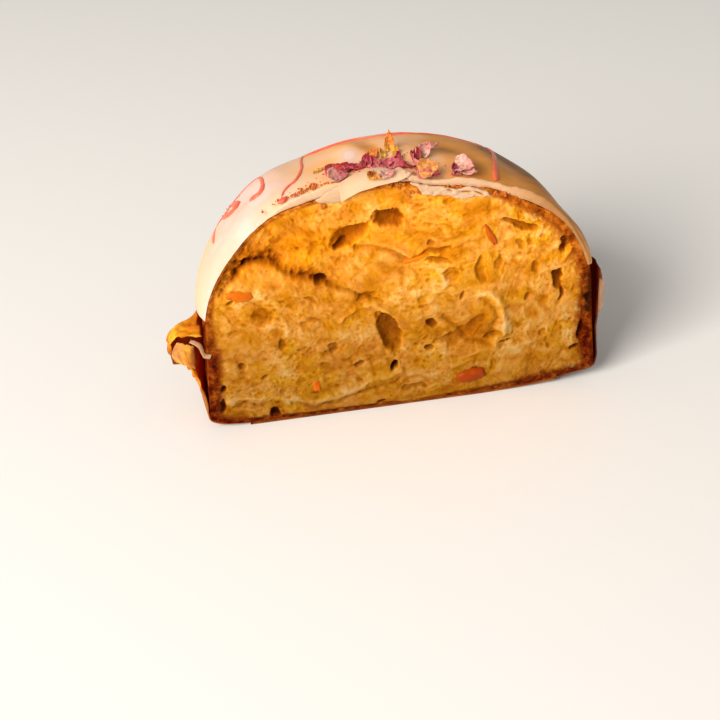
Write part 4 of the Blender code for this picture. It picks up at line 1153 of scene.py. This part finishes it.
def make_peel(material):
    """Each cube of peel: a ball squared off by a power below one, with an uneven, sugary skin."""
    ball = ball_points(26, 49)
    ball = np.sign(ball) * np.abs(ball) ** 0.75
    for number, cx, cz, half_w, half_h, tilt, proud, ripe in PEEL:
        uneven = layered_noise(ball[..., 0] * 1.6 + number, ball[..., 1] * 1.6 + ball[..., 2], number, 3)
        lump = ball * (1 + 0.1 * uneven)[..., None]
        c, s = math.cos(math.radians(tilt)), math.sin(math.radians(tilt))
        a, b = lump[..., 0] * half_w, lump[..., 2] * half_h
        x, z = cx + c * a - s * b, cz + s * a + c * b
        bed = crumb_relief(np.array([[cx]]), np.array([[cz]]), np.array([[9.0]]))[0][0, 0]
        y = CUT + min(bed, 3.0) + 3.4 - proud + lump[..., 1] * 3.6
        solid = "candied_peel_%d" % number
        mesh = skin(solid, (swell(x, y, z),), {"ripe": (np.full(x.shape, ripe),)})
        add_piece("peel_%d" % number, mesh, material, "candied_peel", solid)


# The paper wall's section, radius and height: plain, opened into a pocket at the left end, and standing off
# at the right end
WALL_PLAIN = (
    (97.75, 7.0), (96.9, 20.0), (96.0, 36.0), (95.3, 50.0), (95.2, 58.5),
)
WALL_POCKET = (
    (97.8, 7.0), (98.2, 13.0), (99.8, 24.8), (102.8, 34.2), (106.0, 38.0), (109.4, 39.6), (111.2, 41.6),
    (112.0, 45.5), (111.8, 50.0), (110.4, 52.6), (107.4, 54.6), (103.4, 54.2), (99.8, 53.6), (97.2, 53.2),
)
WALL_RIGHT = (
    (97.9, 7.0), (98.5, 13.0), (97.9, 24.6), (98.4, 38.0), (99.3, 46.0), (99.6, 58.5),
)
# Along the pocket's section: how orange the paper is, partly soaked with butter and partly painted light
# on the facets that face the window and where light passes through
OILED_AND_LIT_AT = (0.0, 0.3, 0.44, 0.5, 0.58, 0.7, 0.76, 0.82, 0.93, 1.0)
OILED_AND_LIT = (0.05, 0.2, 0.7, 0.6, 0.1, 0.05, 0.6, 1.0, 0.9, 0.4)


def make_case(material):
    """The half of the paper case: a flat base, a round corner and a wall whose section changes.

    The section blends from plain to the pocket and to the standing-off wall by smooth steps of the angle.
    Noise adds wrinkles, creases and a ragged upper edge, and a sine adds pleats. The ends stay at the cut.
    """
    end = math.asin(-CUT / WALL_FOOT_R)
    spread = np.linspace(0, 1, WALL_COLUMNS)
    columns = -end + (math.pi + 2 * end) * (spread - 0.1 * np.sin(2 * math.pi * spread) / (2 * math.pi))
    degrees = np.degrees(columns)
    left, right = ramp(degrees, 173.5, 184)[None, :, None], ramp(-degrees, -24, 4)[None, :, None]
    sections = (WALL_PLAIN, WALL_POCKET, WALL_RIGHT)
    plain, pocket, off = (evenly(smooth_path(section, 300), WALL_ROWS)[:, None] for section in sections)
    wall = plain * (1 - left - right) + pocket * left + off * right
    angle = np.linspace(math.pi / 2, 0, CORNER_ROWS)[:, None]
    out = CORNER_W + PAPER_GAP
    corner_r = WALL_FOOT_R - CORNER_W + out * np.cos(angle) + 0 * columns
    corner_z = CORNER_H - (CORNER_H - PAPER / 2) * np.sin(angle) + 0 * columns
    radius, height = np.vstack([corner_r, wall[1:, :, 0]]), np.vstack([corner_z, wall[1:, :, 1]])
    up = np.clip(height / 30, 0, 1)
    share = np.linspace(0, 1, len(height))[:, None]
    pocketed = left[..., 0]
    wrinkle = layered_noise(columns * 9 + 0 * up, height / 11, 12, 3)
    crease = billows(columns * 22 + 0 * up, height / 9, 15) - 0.4
    crumple = pocketed * (billows(columns * 26 + 2.2 * share, share * 7 + 0 * columns, 27) - 0.35)
    pleat = np.sin(columns * 58) * (1 - pocketed)
    radius = radius + up * (0.22 * pleat + 0.4 * wrinkle.clip(-0.4) + 0.2 * crease - 1.8 * crumple)
    torn = layered_noise(columns * 30, 0 * columns, 18, 3) * (0.35 + 0.9 * pocketed)
    height = height + torn * ramp(share, 0.8, 1) + 1.6 * crumple * ramp(share, 0.35, 0.5)
    turn = np.maximum(columns, -np.arcsin(-CUT / radius))
    turn = np.minimum(turn, math.pi + np.arcsin(-CUT / radius))
    sheet = swell(radius * np.cos(turn), radius * np.sin(turn), height)
    x, back = radius[0] * np.cos(turn[0]), radius[0] * np.sin(turn[0])
    depth = np.linspace(0, 1, BASE_ROWS)[:, None]
    none = np.zeros((BASE_ROWS, WALL_COLUMNS))
    base = swell(x + none, CUT + (back - CUT) * depth, none + PAPER / 2)
    # Bright orange where the paper is soaked, and painted light on the pocket's lit facets and upper left
    # wall
    oiled_and_lit = pocketed * np.interp(share, OILED_AND_LIT_AT, OILED_AND_LIT) * (1 + 0.5 * wrinkle)
    oiled_and_lit = oiled_and_lit + 0.3 * ramp(columns, 2.6, 3.0) * ramp(share, 0.5, 1)
    # Painted shade on the right end of the wall, near black in the gap by the loaf
    gap_shade = right[..., 0] ** 2 * np.clip(0.9 + 0.5 * wrinkle, 0, 1)
    fields = {"oiled_and_lit": (oiled_and_lit, none), "beige": (0 * oiled_and_lit, none), "gap_shade": (gap_shade, none)}
    mesh = skin("paper_case", (sheet, base), fields)
    return thicken(add_piece("case_paper", mesh, material, "brown_paper", "paper_case"), PAPER)


# The curled edge torn from the pocket: where it runs, x, y and z
TORN_EDGE = (
    (-101.5, -16.8, 52.4), (-99.4, -17.2, 51.4), (-97.2, -17.2, 49.2), (-96.3, -16.7, 45.6),
    (-95.4, -16.0, 43.0), (-92.8, -15.5, 41.8),
)
# Paper bent forward, the lapel under the pocket and the strip on the right, by their corners from low left
LAPELS = (
    ((-110.2, -14.9, 41.6), (-100.6, -15.4, 36.0), (-107.6, -15.8, 52.0), (-99.8, -16.4, 49.4)),
    ((97.0, -15.4, 38.0), (98.8, -15.2, 41.0), (96.8, -15.6, 57.4), (99.4, -15.2, 55.6)),
)


def make_lapels(material):
    """Crumpled sheets between four corners, bellied by sines, with painted light where the paper is bent."""
    u = np.linspace(0, 1, LAPEL_STEPS)[None]
    v = np.linspace(0, 1, LAPEL_STEPS)[:, None]
    a, b = u[..., None], v[..., None]
    none = np.zeros((LAPEL_STEPS, LAPEL_STEPS))
    beige = (none + 0.3 * (1 - u), none + 0.9)
    # Painted shade on the right strip, darkest by the loaf
    gap_shade = (none, none + 0.25 + 0.5 * (1 - u) ** 2)
    for number, corners in enumerate(LAPELS):
        low_left, low_right, high_left, high_right = (np.array(corner) for corner in corners)
        points = (1 - b) * ((1 - a) * low_left + a * low_right) + b * ((1 - a) * high_left + a * high_right)
        wide = abs(low_right[0] - low_left[0]) / 10
        fold = billows(3 * u + v + 5 * number, 2.5 * v, 61)
        points[..., 1] -= 1.6 * wide * np.sin(math.pi * u) * np.sin(math.pi * v) * (0.4 + fold)
        points[..., 0] -= 1.4 * wide * np.sin(math.pi * v) * (1 - u)
        uneven = layered_noise(6 * u + none, 6 * v + none, 63, 3)
        points[..., 2] += 0.6 * wide * uneven * (u * (1 - u) * v * 4)
        # Painted light where the paper is bent, fading towards its right edge
        oiled_and_lit = np.clip(0.6 + 0.5 * fold - 0.9 * ramp(u, 0.7, 1.0), 0, 1)
        fields = {"oiled_and_lit": (oiled_and_lit,), "beige": (beige[number],), "gap_shade": (gap_shade[number],)}
        mesh = skin("lapel", (points,), fields)
        thicken(add_piece("case_lapel_%d" % number, mesh, material, "brown_paper", "paper_case"), 0.4)


def make_torn_edge(material):
    """The thin curled edge torn from the pocket: a narrow strip twisted along its route."""
    path = smooth_path(TORN_EDGE, TORN_STEPS)
    across = np.linspace(-1, 1, 9)[None]
    twist = np.linspace(0.2, 1.5, TORN_STEPS)[:, None]
    uneven = layered_noise(np.linspace(0, 6, TORN_STEPS), np.zeros(TORN_STEPS), 2)
    half = across * (1.0 + 0.2 * uneven)[:, None]
    x = path[:, :1] + half * 0.55
    y = path[:, 1:2] + half * np.cos(twist) * 0.9 - 0.5 * (1 - across**2)
    z = path[:, 2:] + half * np.sin(twist)
    none = np.zeros(x.shape)
    fields = {"oiled_and_lit": (none + 0.7,), "beige": (none + 0.8,), "gap_shade": (none,)}
    mesh = skin("torn_edge", (np.stack([x, y, z], -1),), fields)
    return thicken(add_piece("case_torn_edge", mesh, material, "brown_paper", "paper_case"), 0.35)


def node(tree, kind, **settings):
    """A shader node with its settings and the values of its inputs, given by name or number."""
    made = tree.nodes.new("ShaderNode" + kind)
    for key, value in settings.items():
        if key == "inputs":
            for socket, number in value.items():
                made.inputs[socket].default_value = number
        else:
            setattr(made, key, value)
    return made


def colour_steps(tree, value, stops):
    """A colour ramp: pairs of place and colour."""
    made = node(tree, "ValToRGB")
    while len(made.color_ramp.elements) < len(stops):
        made.color_ramp.elements.new(0.5)
    for element, (place, colour) in zip(made.color_ramp.elements, stops):
        element.position = place
        element.color = (*colour, 1)
    tree.links.new(value, made.inputs["Fac"])
    return made.outputs["Color"]


def blend_colours(tree, factor, first, second, kind="MIX"):
    """Mixes two colours by a factor; each may be a socket or a plain colour."""
    made = node(tree, "Mix", data_type="RGBA", blend_type=kind)
    for socket, value in ((made.inputs[0], factor), (made.inputs[6], first), (made.inputs[7], second)):
        if isinstance(value, (int, float)):
            socket.default_value = value
        elif isinstance(value, tuple):
            socket.default_value = (*value, 1)
        else:
            tree.links.new(value, socket)
    return made.outputs[2]


def field(tree, name):
    """A number kept at the mesh's points."""
    return node(tree, "Attribute", attribute_name=name).outputs["Fac"]


def mottle_group():
    """The mottle that every finish shares, built once: fractal noise over Object coordinates."""
    group = bpy.data.node_groups.get("mottle")
    if group:
        return group
    group = bpy.data.node_groups.new("mottle", "ShaderNodeTree")
    for name in ("Scale", "Detail", "Roughness"):
        group.interface.new_socket(name, in_out="INPUT", socket_type="NodeSocketFloat")
    group.interface.new_socket("Amount", in_out="OUTPUT", socket_type="NodeSocketFloat")
    given, made = group.nodes.new("NodeGroupInput"), group.nodes.new("NodeGroupOutput")
    place = node(group, "TexCoord")
    cloud = node(group, "TexNoise")
    group.links.new(place.outputs["Object"], cloud.inputs["Vector"])
    for name in ("Scale", "Detail", "Roughness"):
        group.links.new(given.outputs[name], cloud.inputs[name])
    group.links.new(cloud.outputs["Fac"], made.inputs["Amount"])
    return group


def noise(tree, scale, detail, roughness):
    """The shared mottle placed in one material with its own values: from 0 to 1."""
    copy = tree.nodes.new("ShaderNodeGroup")
    copy.node_tree = mottle_group()
    for name, value in (("Scale", scale), ("Detail", detail), ("Roughness", roughness)):
        copy.inputs[name].default_value = value
    return copy.outputs["Amount"]


def bump(tree, shader, height, strength, distance):
    """A bump from a height, wired to the shader."""
    made = node(tree, "Bump", inputs={"Strength": strength, "Distance": distance})
    tree.links.new(height, made.inputs["Height"])
    tree.links.new(made.outputs["Normal"], shader.inputs["Normal"])


def finish(name, roughness, specular, soft=0.0, reach_of_light=(0, 0, 0)):
    """A material with its Principled shader; soft is the share of light that passes in."""
    made = bpy.data.materials.new(name)
    made.use_nodes = True
    shader = made.node_tree.nodes["Principled BSDF"]
    shader.inputs["Roughness"].default_value = roughness
    shader.inputs["Specular IOR Level"].default_value = specular
    if soft:
        shader.inputs["Subsurface Weight"].default_value = soft
        shader.inputs["Subsurface Radius"].default_value = reach_of_light
        shader.inputs["Subsurface Scale"].default_value = 1.0
    return made, made.node_tree, shader


def shifted(tree, value, scale, offset):
    """A number times a scale, plus an offset."""
    made = node(tree, "Math", operation="MULTIPLY_ADD", inputs={1: scale, 2: offset})
    tree.links.new(value, made.inputs[0])
    return made.outputs[0]


def added(tree, first, second):
    """The sum of two numbers."""
    made = node(tree, "Math", operation="ADD")
    tree.links.new(first, made.inputs[0])
    tree.links.new(second, made.inputs[1])
    return made.outputs[0]


def stretched(tree, value, low, high):
    """A number from low to high carried to 0 to 1, and held there."""
    made = node(tree, "MapRange", inputs={"From Min": low, "From Max": high})
    tree.links.new(value, made.inputs["Value"])
    return made.outputs["Result"]


def crumb_finish():
    """Golden crumb: tone, cream and warmth from the mesh, browner where it is crust, with fine pores.

    The painted shade kept on the mesh darkens it all.
    """
    made, tree, shader = finish("golden_crumb", 0.85, 0.04, 0.6, (0.0034, 0.0014, 0.0005))
    speck = noise(tree, 1100, 4, 0.6)
    tone = added(tree, field(tree, "tone"), shifted(tree, speck, 0.2, -0.1))
    golden = colour_steps(tree, tone, (
        (0.0, (0.05, 0.006, 0.0)), (0.2, (0.24, 0.052, 0.001)), (0.42, (0.5, 0.148, 0.002)),
        (0.62, (0.72, 0.27, 0.006)), (0.8, (0.86, 0.4, 0.014)), (1.0, (0.95, 0.55, 0.04)),
    ))
    cream = colour_steps(tree, tone, (
        (0.0, (0.05, 0.01, 0.001)), (0.2, (0.2, 0.05, 0.006)), (0.42, (0.46, 0.16, 0.02)),
        (0.62, (0.76, 0.285, 0.028)), (0.8, (0.9, 0.43, 0.08)), (1.0, (0.98, 0.66, 0.25)),
    ))
    crumb = blend_colours(tree, field(tree, "creamy"), golden, cream)
    orange = blend_colours(tree, 1.0, crumb, (1.0, 0.84, 0.22), "MULTIPLY")
    crumb = blend_colours(tree, stretched(tree, field(tree, "warm"), 0.05, 1.0), crumb, orange)
    brown = noise(tree, 190, 6, 0.75)
    dark = colour_steps(tree, brown, (
        (0.36, (0.02, 0.001, 0.0)), (0.45, (0.15, 0.008, 0.0)),
        (0.54, (0.3, 0.034, 0.001)), (0.68, (0.62, 0.17, 0.01)),
    ))
    light = colour_steps(tree, brown, (
        (0.36, (0.24, 0.04, 0.001)), (0.5, (0.56, 0.16, 0.006)), (0.64, (0.86, 0.34, 0.035)),
    ))
    crust = blend_colours(tree, field(tree, "bake"), light, dark)
    mask = added(tree, field(tree, "crust"), shifted(tree, brown, 0.9, -0.45))
    colour = blend_colours(tree, stretched(tree, mask, 0.42, 0.68), crumb, crust)
    # Painted shade from the mesh darkens crumb and crust
    colour = blend_colours(tree, 1.0, colour, field(tree, "painted_shade"), "MULTIPLY")
    tree.links.new(colour, shader.inputs["Base Color"])
    bump(tree, shader, speck, 0.22, 0.0005)
    return made


def icing_finish():
    """Set icing: cream to caramel, slightly translucent, mottled, paler and pinker where it is broken.

    Its pale and brown steps also paint light on the left and shade down the right, by the tan on the mesh.
    """
    made, tree, shader = finish("cream_icing", 0.42, 0.14, 0.25, (0.005, 0.0025, 0.001))
    place = added(tree, field(tree, "tan"), shifted(tree, noise(tree, 34, 3, 0.5), 0.4, -0.2))
    coat = colour_steps(tree, place, (
        (0.0, (0.8, 0.57, 0.49)), (0.1, (0.78, 0.5, 0.38)), (0.22, (0.84, 0.52, 0.31)),
        (0.42, (0.94, 0.46, 0.19)), (0.6, (0.8, 0.33, 0.07)), (0.85, (0.5, 0.185, 0.022)),
        (1.0, (0.24, 0.094, 0.009)),
    ))
    colour = blend_colours(tree, field(tree, "broken"), coat, (0.7, 0.43, 0.27))
    tree.links.new(colour, shader.inputs["Base Color"])
    bump(tree, shader, noise(tree, 260, 3, 0.6), 0.08, 0.001)
    return made


def drizzle_finish():
    """Coral glaze: glossy and thin in places."""
    made, tree, shader = finish("coral_drizzle", 0.35, 0.35, 0.2, (0.003, 0.001, 0.001))
    mottle = noise(tree, 300, 3, 0.6)
    colour = colour_steps(tree, mottle, ((0.3, (0.8, 0.1, 0.045)), (0.7, (0.88, 0.19, 0.09))))
    tree.links.new(colour, shader.inputs["Base Color"])
    return made


def peel_finish():
    """Candied peel: glassy orange with cloudy sugar, each piece its own depth of colour."""
    made, tree, shader = finish("candied_orange", 0.36, 0.1, 0.3, (0.004, 0.001, 0.0003))
    mottle = added(tree, shifted(tree, noise(tree, 260, 3, 0.6), 0.5, 0), field(tree, "ripe"))
    colour = colour_steps(tree, mottle, (
        (0.3, (0.3, 0.04, 0.001)), (0.6, (0.52, 0.09, 0.001)), (0.95, (0.8, 0.22, 0.003)),
        (1.25, (0.85, 0.34, 0.02)),
    ))
    tree.links.new(colour, shader.inputs["Base Color"])
    return made


def paper_finish():
    """Butter-stained baking paper: brown, orange where it is soaked, pale beige in places; fine fibres.

    The orange is also painted light where the paper is lit and glows, and near black is painted shade in
    gaps.
    """
    made, tree, shader = finish("baking_paper", 0.55, 0.15, 0.4, (0.004, 0.0014, 0.0003))
    stain = noise(tree, 60, 4, 0.6)
    brown = colour_steps(tree, stain, (
        (0.3, (0.1, 0.02, 0.002)), (0.5, (0.22, 0.05, 0.004)), (0.7, (0.42, 0.13, 0.012)),
    ))
    soaked_and_lit = colour_steps(tree, noise(tree, 170, 3, 0.6), (
        (0.3, (0.62, 0.14, 0.002)), (0.5, (0.86, 0.26, 0.004)), (0.7, (0.98, 0.46, 0.03)),
    ))
    # Bright orange where the paper is soaked, and painted light on lit and glowing paper
    colour = blend_colours(tree, field(tree, "oiled_and_lit"), brown, soaked_and_lit)
    colour = blend_colours(tree, field(tree, "beige"), colour, (0.62, 0.36, 0.23))
    # Painted shade: near black in the gaps between paper and loaf
    colour = blend_colours(tree, field(tree, "gap_shade"), colour, (0.05, 0.006, 0.001))
    tree.links.new(colour, shader.inputs["Base Color"])
    bump(tree, shader, noise(tree, 700, 3, 0.6), 0.2, 0.0004)
    return made


def petal_finish(name, base, tip):
    """Dried petal: one colour at the base, another at the tip, with a darker mottle."""
    made, tree, shader = finish(name, 0.62, 0.3, 0.15, (0.002, 0.001, 0.001))
    along = stretched(tree, field(tree, "along"), -1.0, 1.0)
    colour = colour_steps(tree, along, ((0.05, base), (0.85, tip)))
    mottle = noise(tree, 500, 4, 0.7)
    darker = colour_steps(tree, mottle, ((0.35, (0.45, 0.4, 0.42)), (0.6, (1, 1, 1))))
    tree.links.new(blend_colours(tree, 1.0, colour, darker, "MULTIPLY"), shader.inputs["Base Color"])
    bump(tree, shader, mottle, 0.3, 0.0004)
    return made


def petal_finishes():
    """The petals' finishes by colour, each with the record's slot that it belongs to."""
    return {
        "crimson": (petal_finish("crimson_petal", (0.7, 0.13, 0.1), (0.5, 0.015, 0.03)), "petal_dark"),
        "magenta": (petal_finish("magenta_petal", (0.75, 0.2, 0.2), (0.42, 0.025, 0.06)), "petal_dark"),
        "pink": (petal_finish("pink_petal", (0.9, 0.55, 0.42), (0.82, 0.3, 0.26)), "petal_pale"),
        "faded": (petal_finish("faded_petal", (0.75, 0.4, 0.3), (0.6, 0.16, 0.17)), "petal_pale"),
        "orange": (petal_finish("orange_petal", (0.9, 0.42, 0.05), (0.88, 0.22, 0.03)), "petal_orange"),
        "gold": (petal_finish("gold_petal", (0.85, 0.5, 0.06), (0.72, 0.3, 0.03)), "petal_orange"),
        "apricot": (petal_finish("apricot_petal", (0.9, 0.42, 0.1), (0.9, 0.36, 0.1)), "petal_orange"),
    }


def crumbs_finish():
    """Loose crumbs from brown through orange to magenta, by the kind kept on the mesh."""
    made, tree, shader = finish("loose_crumbs", 0.7, 0.3, 0.2, (0.002, 0.001, 0.0005))
    colour = colour_steps(tree, field(tree, "kind"), (
        (0.0, (0.5, 0.15, 0.01)), (0.25, (0.62, 0.14, 0.015)), (0.5, (0.5, 0.06, 0.03)),
        (0.85, (0.45, 0.05, 0.1)),
    ))
    tree.links.new(colour, shader.inputs["Base Color"])
    return made


# The camera of the photograph: its place in metres, its three axes and its lens for a 36 mm film
CAMERA_AT = (-0.1016, -0.5887, 0.3894)
CAMERA_RIGHT = Vector((0.98455, -0.16803, -0.04927))
CAMERA_UP = Vector((0.13023, 0.51460, 0.84748))
CAMERA_AHEAD = Vector((0.11705, 0.84080, -0.52853))
CAMERA_LENS = 70.63
# The window: its place and aim in metres, its width and height, power in watts and colour
WINDOW_AT = (-1.55, -1.35, 1.3)
WINDOW_AIM = (0, 0.02, 0.06)
WINDOW_SIZE = (1.4, 1.3)
WINDOW_POWER = 84
WINDOW_COLOUR = (1.0, 0.94, 0.86)
# The room's own light, and the table: half its width in metres and its grey
ROOM_COLOUR = (1.0, 0.95, 0.88, 1)
ROOM_STRENGTH = 0.38
TABLE_HALF = 4.0
TABLE_COLOUR = (0.86, 0.86, 0.86, 1)


def set_camera():
    """The camera of the photograph."""
    data = bpy.data.cameras.new("view")
    data.lens = CAMERA_LENS
    data.sensor_width = 36
    data.clip_start = 0.01
    camera = placed("view", data)
    axes = Matrix((CAMERA_RIGHT, CAMERA_UP, -CAMERA_AHEAD)).transposed().to_4x4()
    camera.matrix_world = Matrix.Translation(CAMERA_AT) @ axes
    bpy.context.scene.camera = camera


def make_table():
    """A pale table, wider than the view."""
    plane = bpy.data.meshes.new("table")
    corners = [(x * TABLE_HALF, y * TABLE_HALF, 0) for x, y in ((-1, -1), (1, -1), (1, 1), (-1, 1))]
    plane.from_pydata(corners, [], [(0, 1, 2, 3)])
    table = placed("table", plane)
    pale, _, shader = finish("pale_table", 0.9, 0.2)
    shader.inputs["Base Color"].default_value = TABLE_COLOUR
    plane.materials.append(pale)


def set_light():
    """Soft light: a wide window on the left, and a pale room."""
    lamp = bpy.data.lights.new("window", "AREA")
    lamp.shape = "RECTANGLE"
    lamp.size, lamp.size_y = WINDOW_SIZE
    lamp.energy = WINDOW_POWER
    lamp.color = WINDOW_COLOUR
    window = placed("window", lamp)
    window.location = WINDOW_AT
    window.rotation_euler = (Vector(WINDOW_AIM) - Vector(WINDOW_AT)).to_track_quat("-Z", "Y").to_euler()
    world = bpy.data.worlds.new("room")
    world.use_nodes = True
    world.node_tree.nodes["Background"].inputs["Color"].default_value = ROOM_COLOUR
    world.node_tree.nodes["Background"].inputs["Strength"].default_value = ROOM_STRENGTH
    bpy.context.scene.world = world
    bpy.context.scene.view_settings.view_transform = "Standard"


def main():
    """Every piece in turn, then the camera, table and light."""
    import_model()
    crumb, icing = crumb_finish(), icing_finish()
    make_crumb(crumb)
    make_crust(crumb)
    make_icing(icing)
    make_drizzle(drizzle_finish())
    make_slumped(icing)
    make_stuck(icing)
    make_petals(petal_finishes())
    make_peel(peel_finish())
    make_crumbs(crumbs_finish())
    paper = paper_finish()
    make_case(paper)
    make_lapels(paper)
    make_torn_edge(paper)
    set_camera()
    make_table()
    set_light()


main()
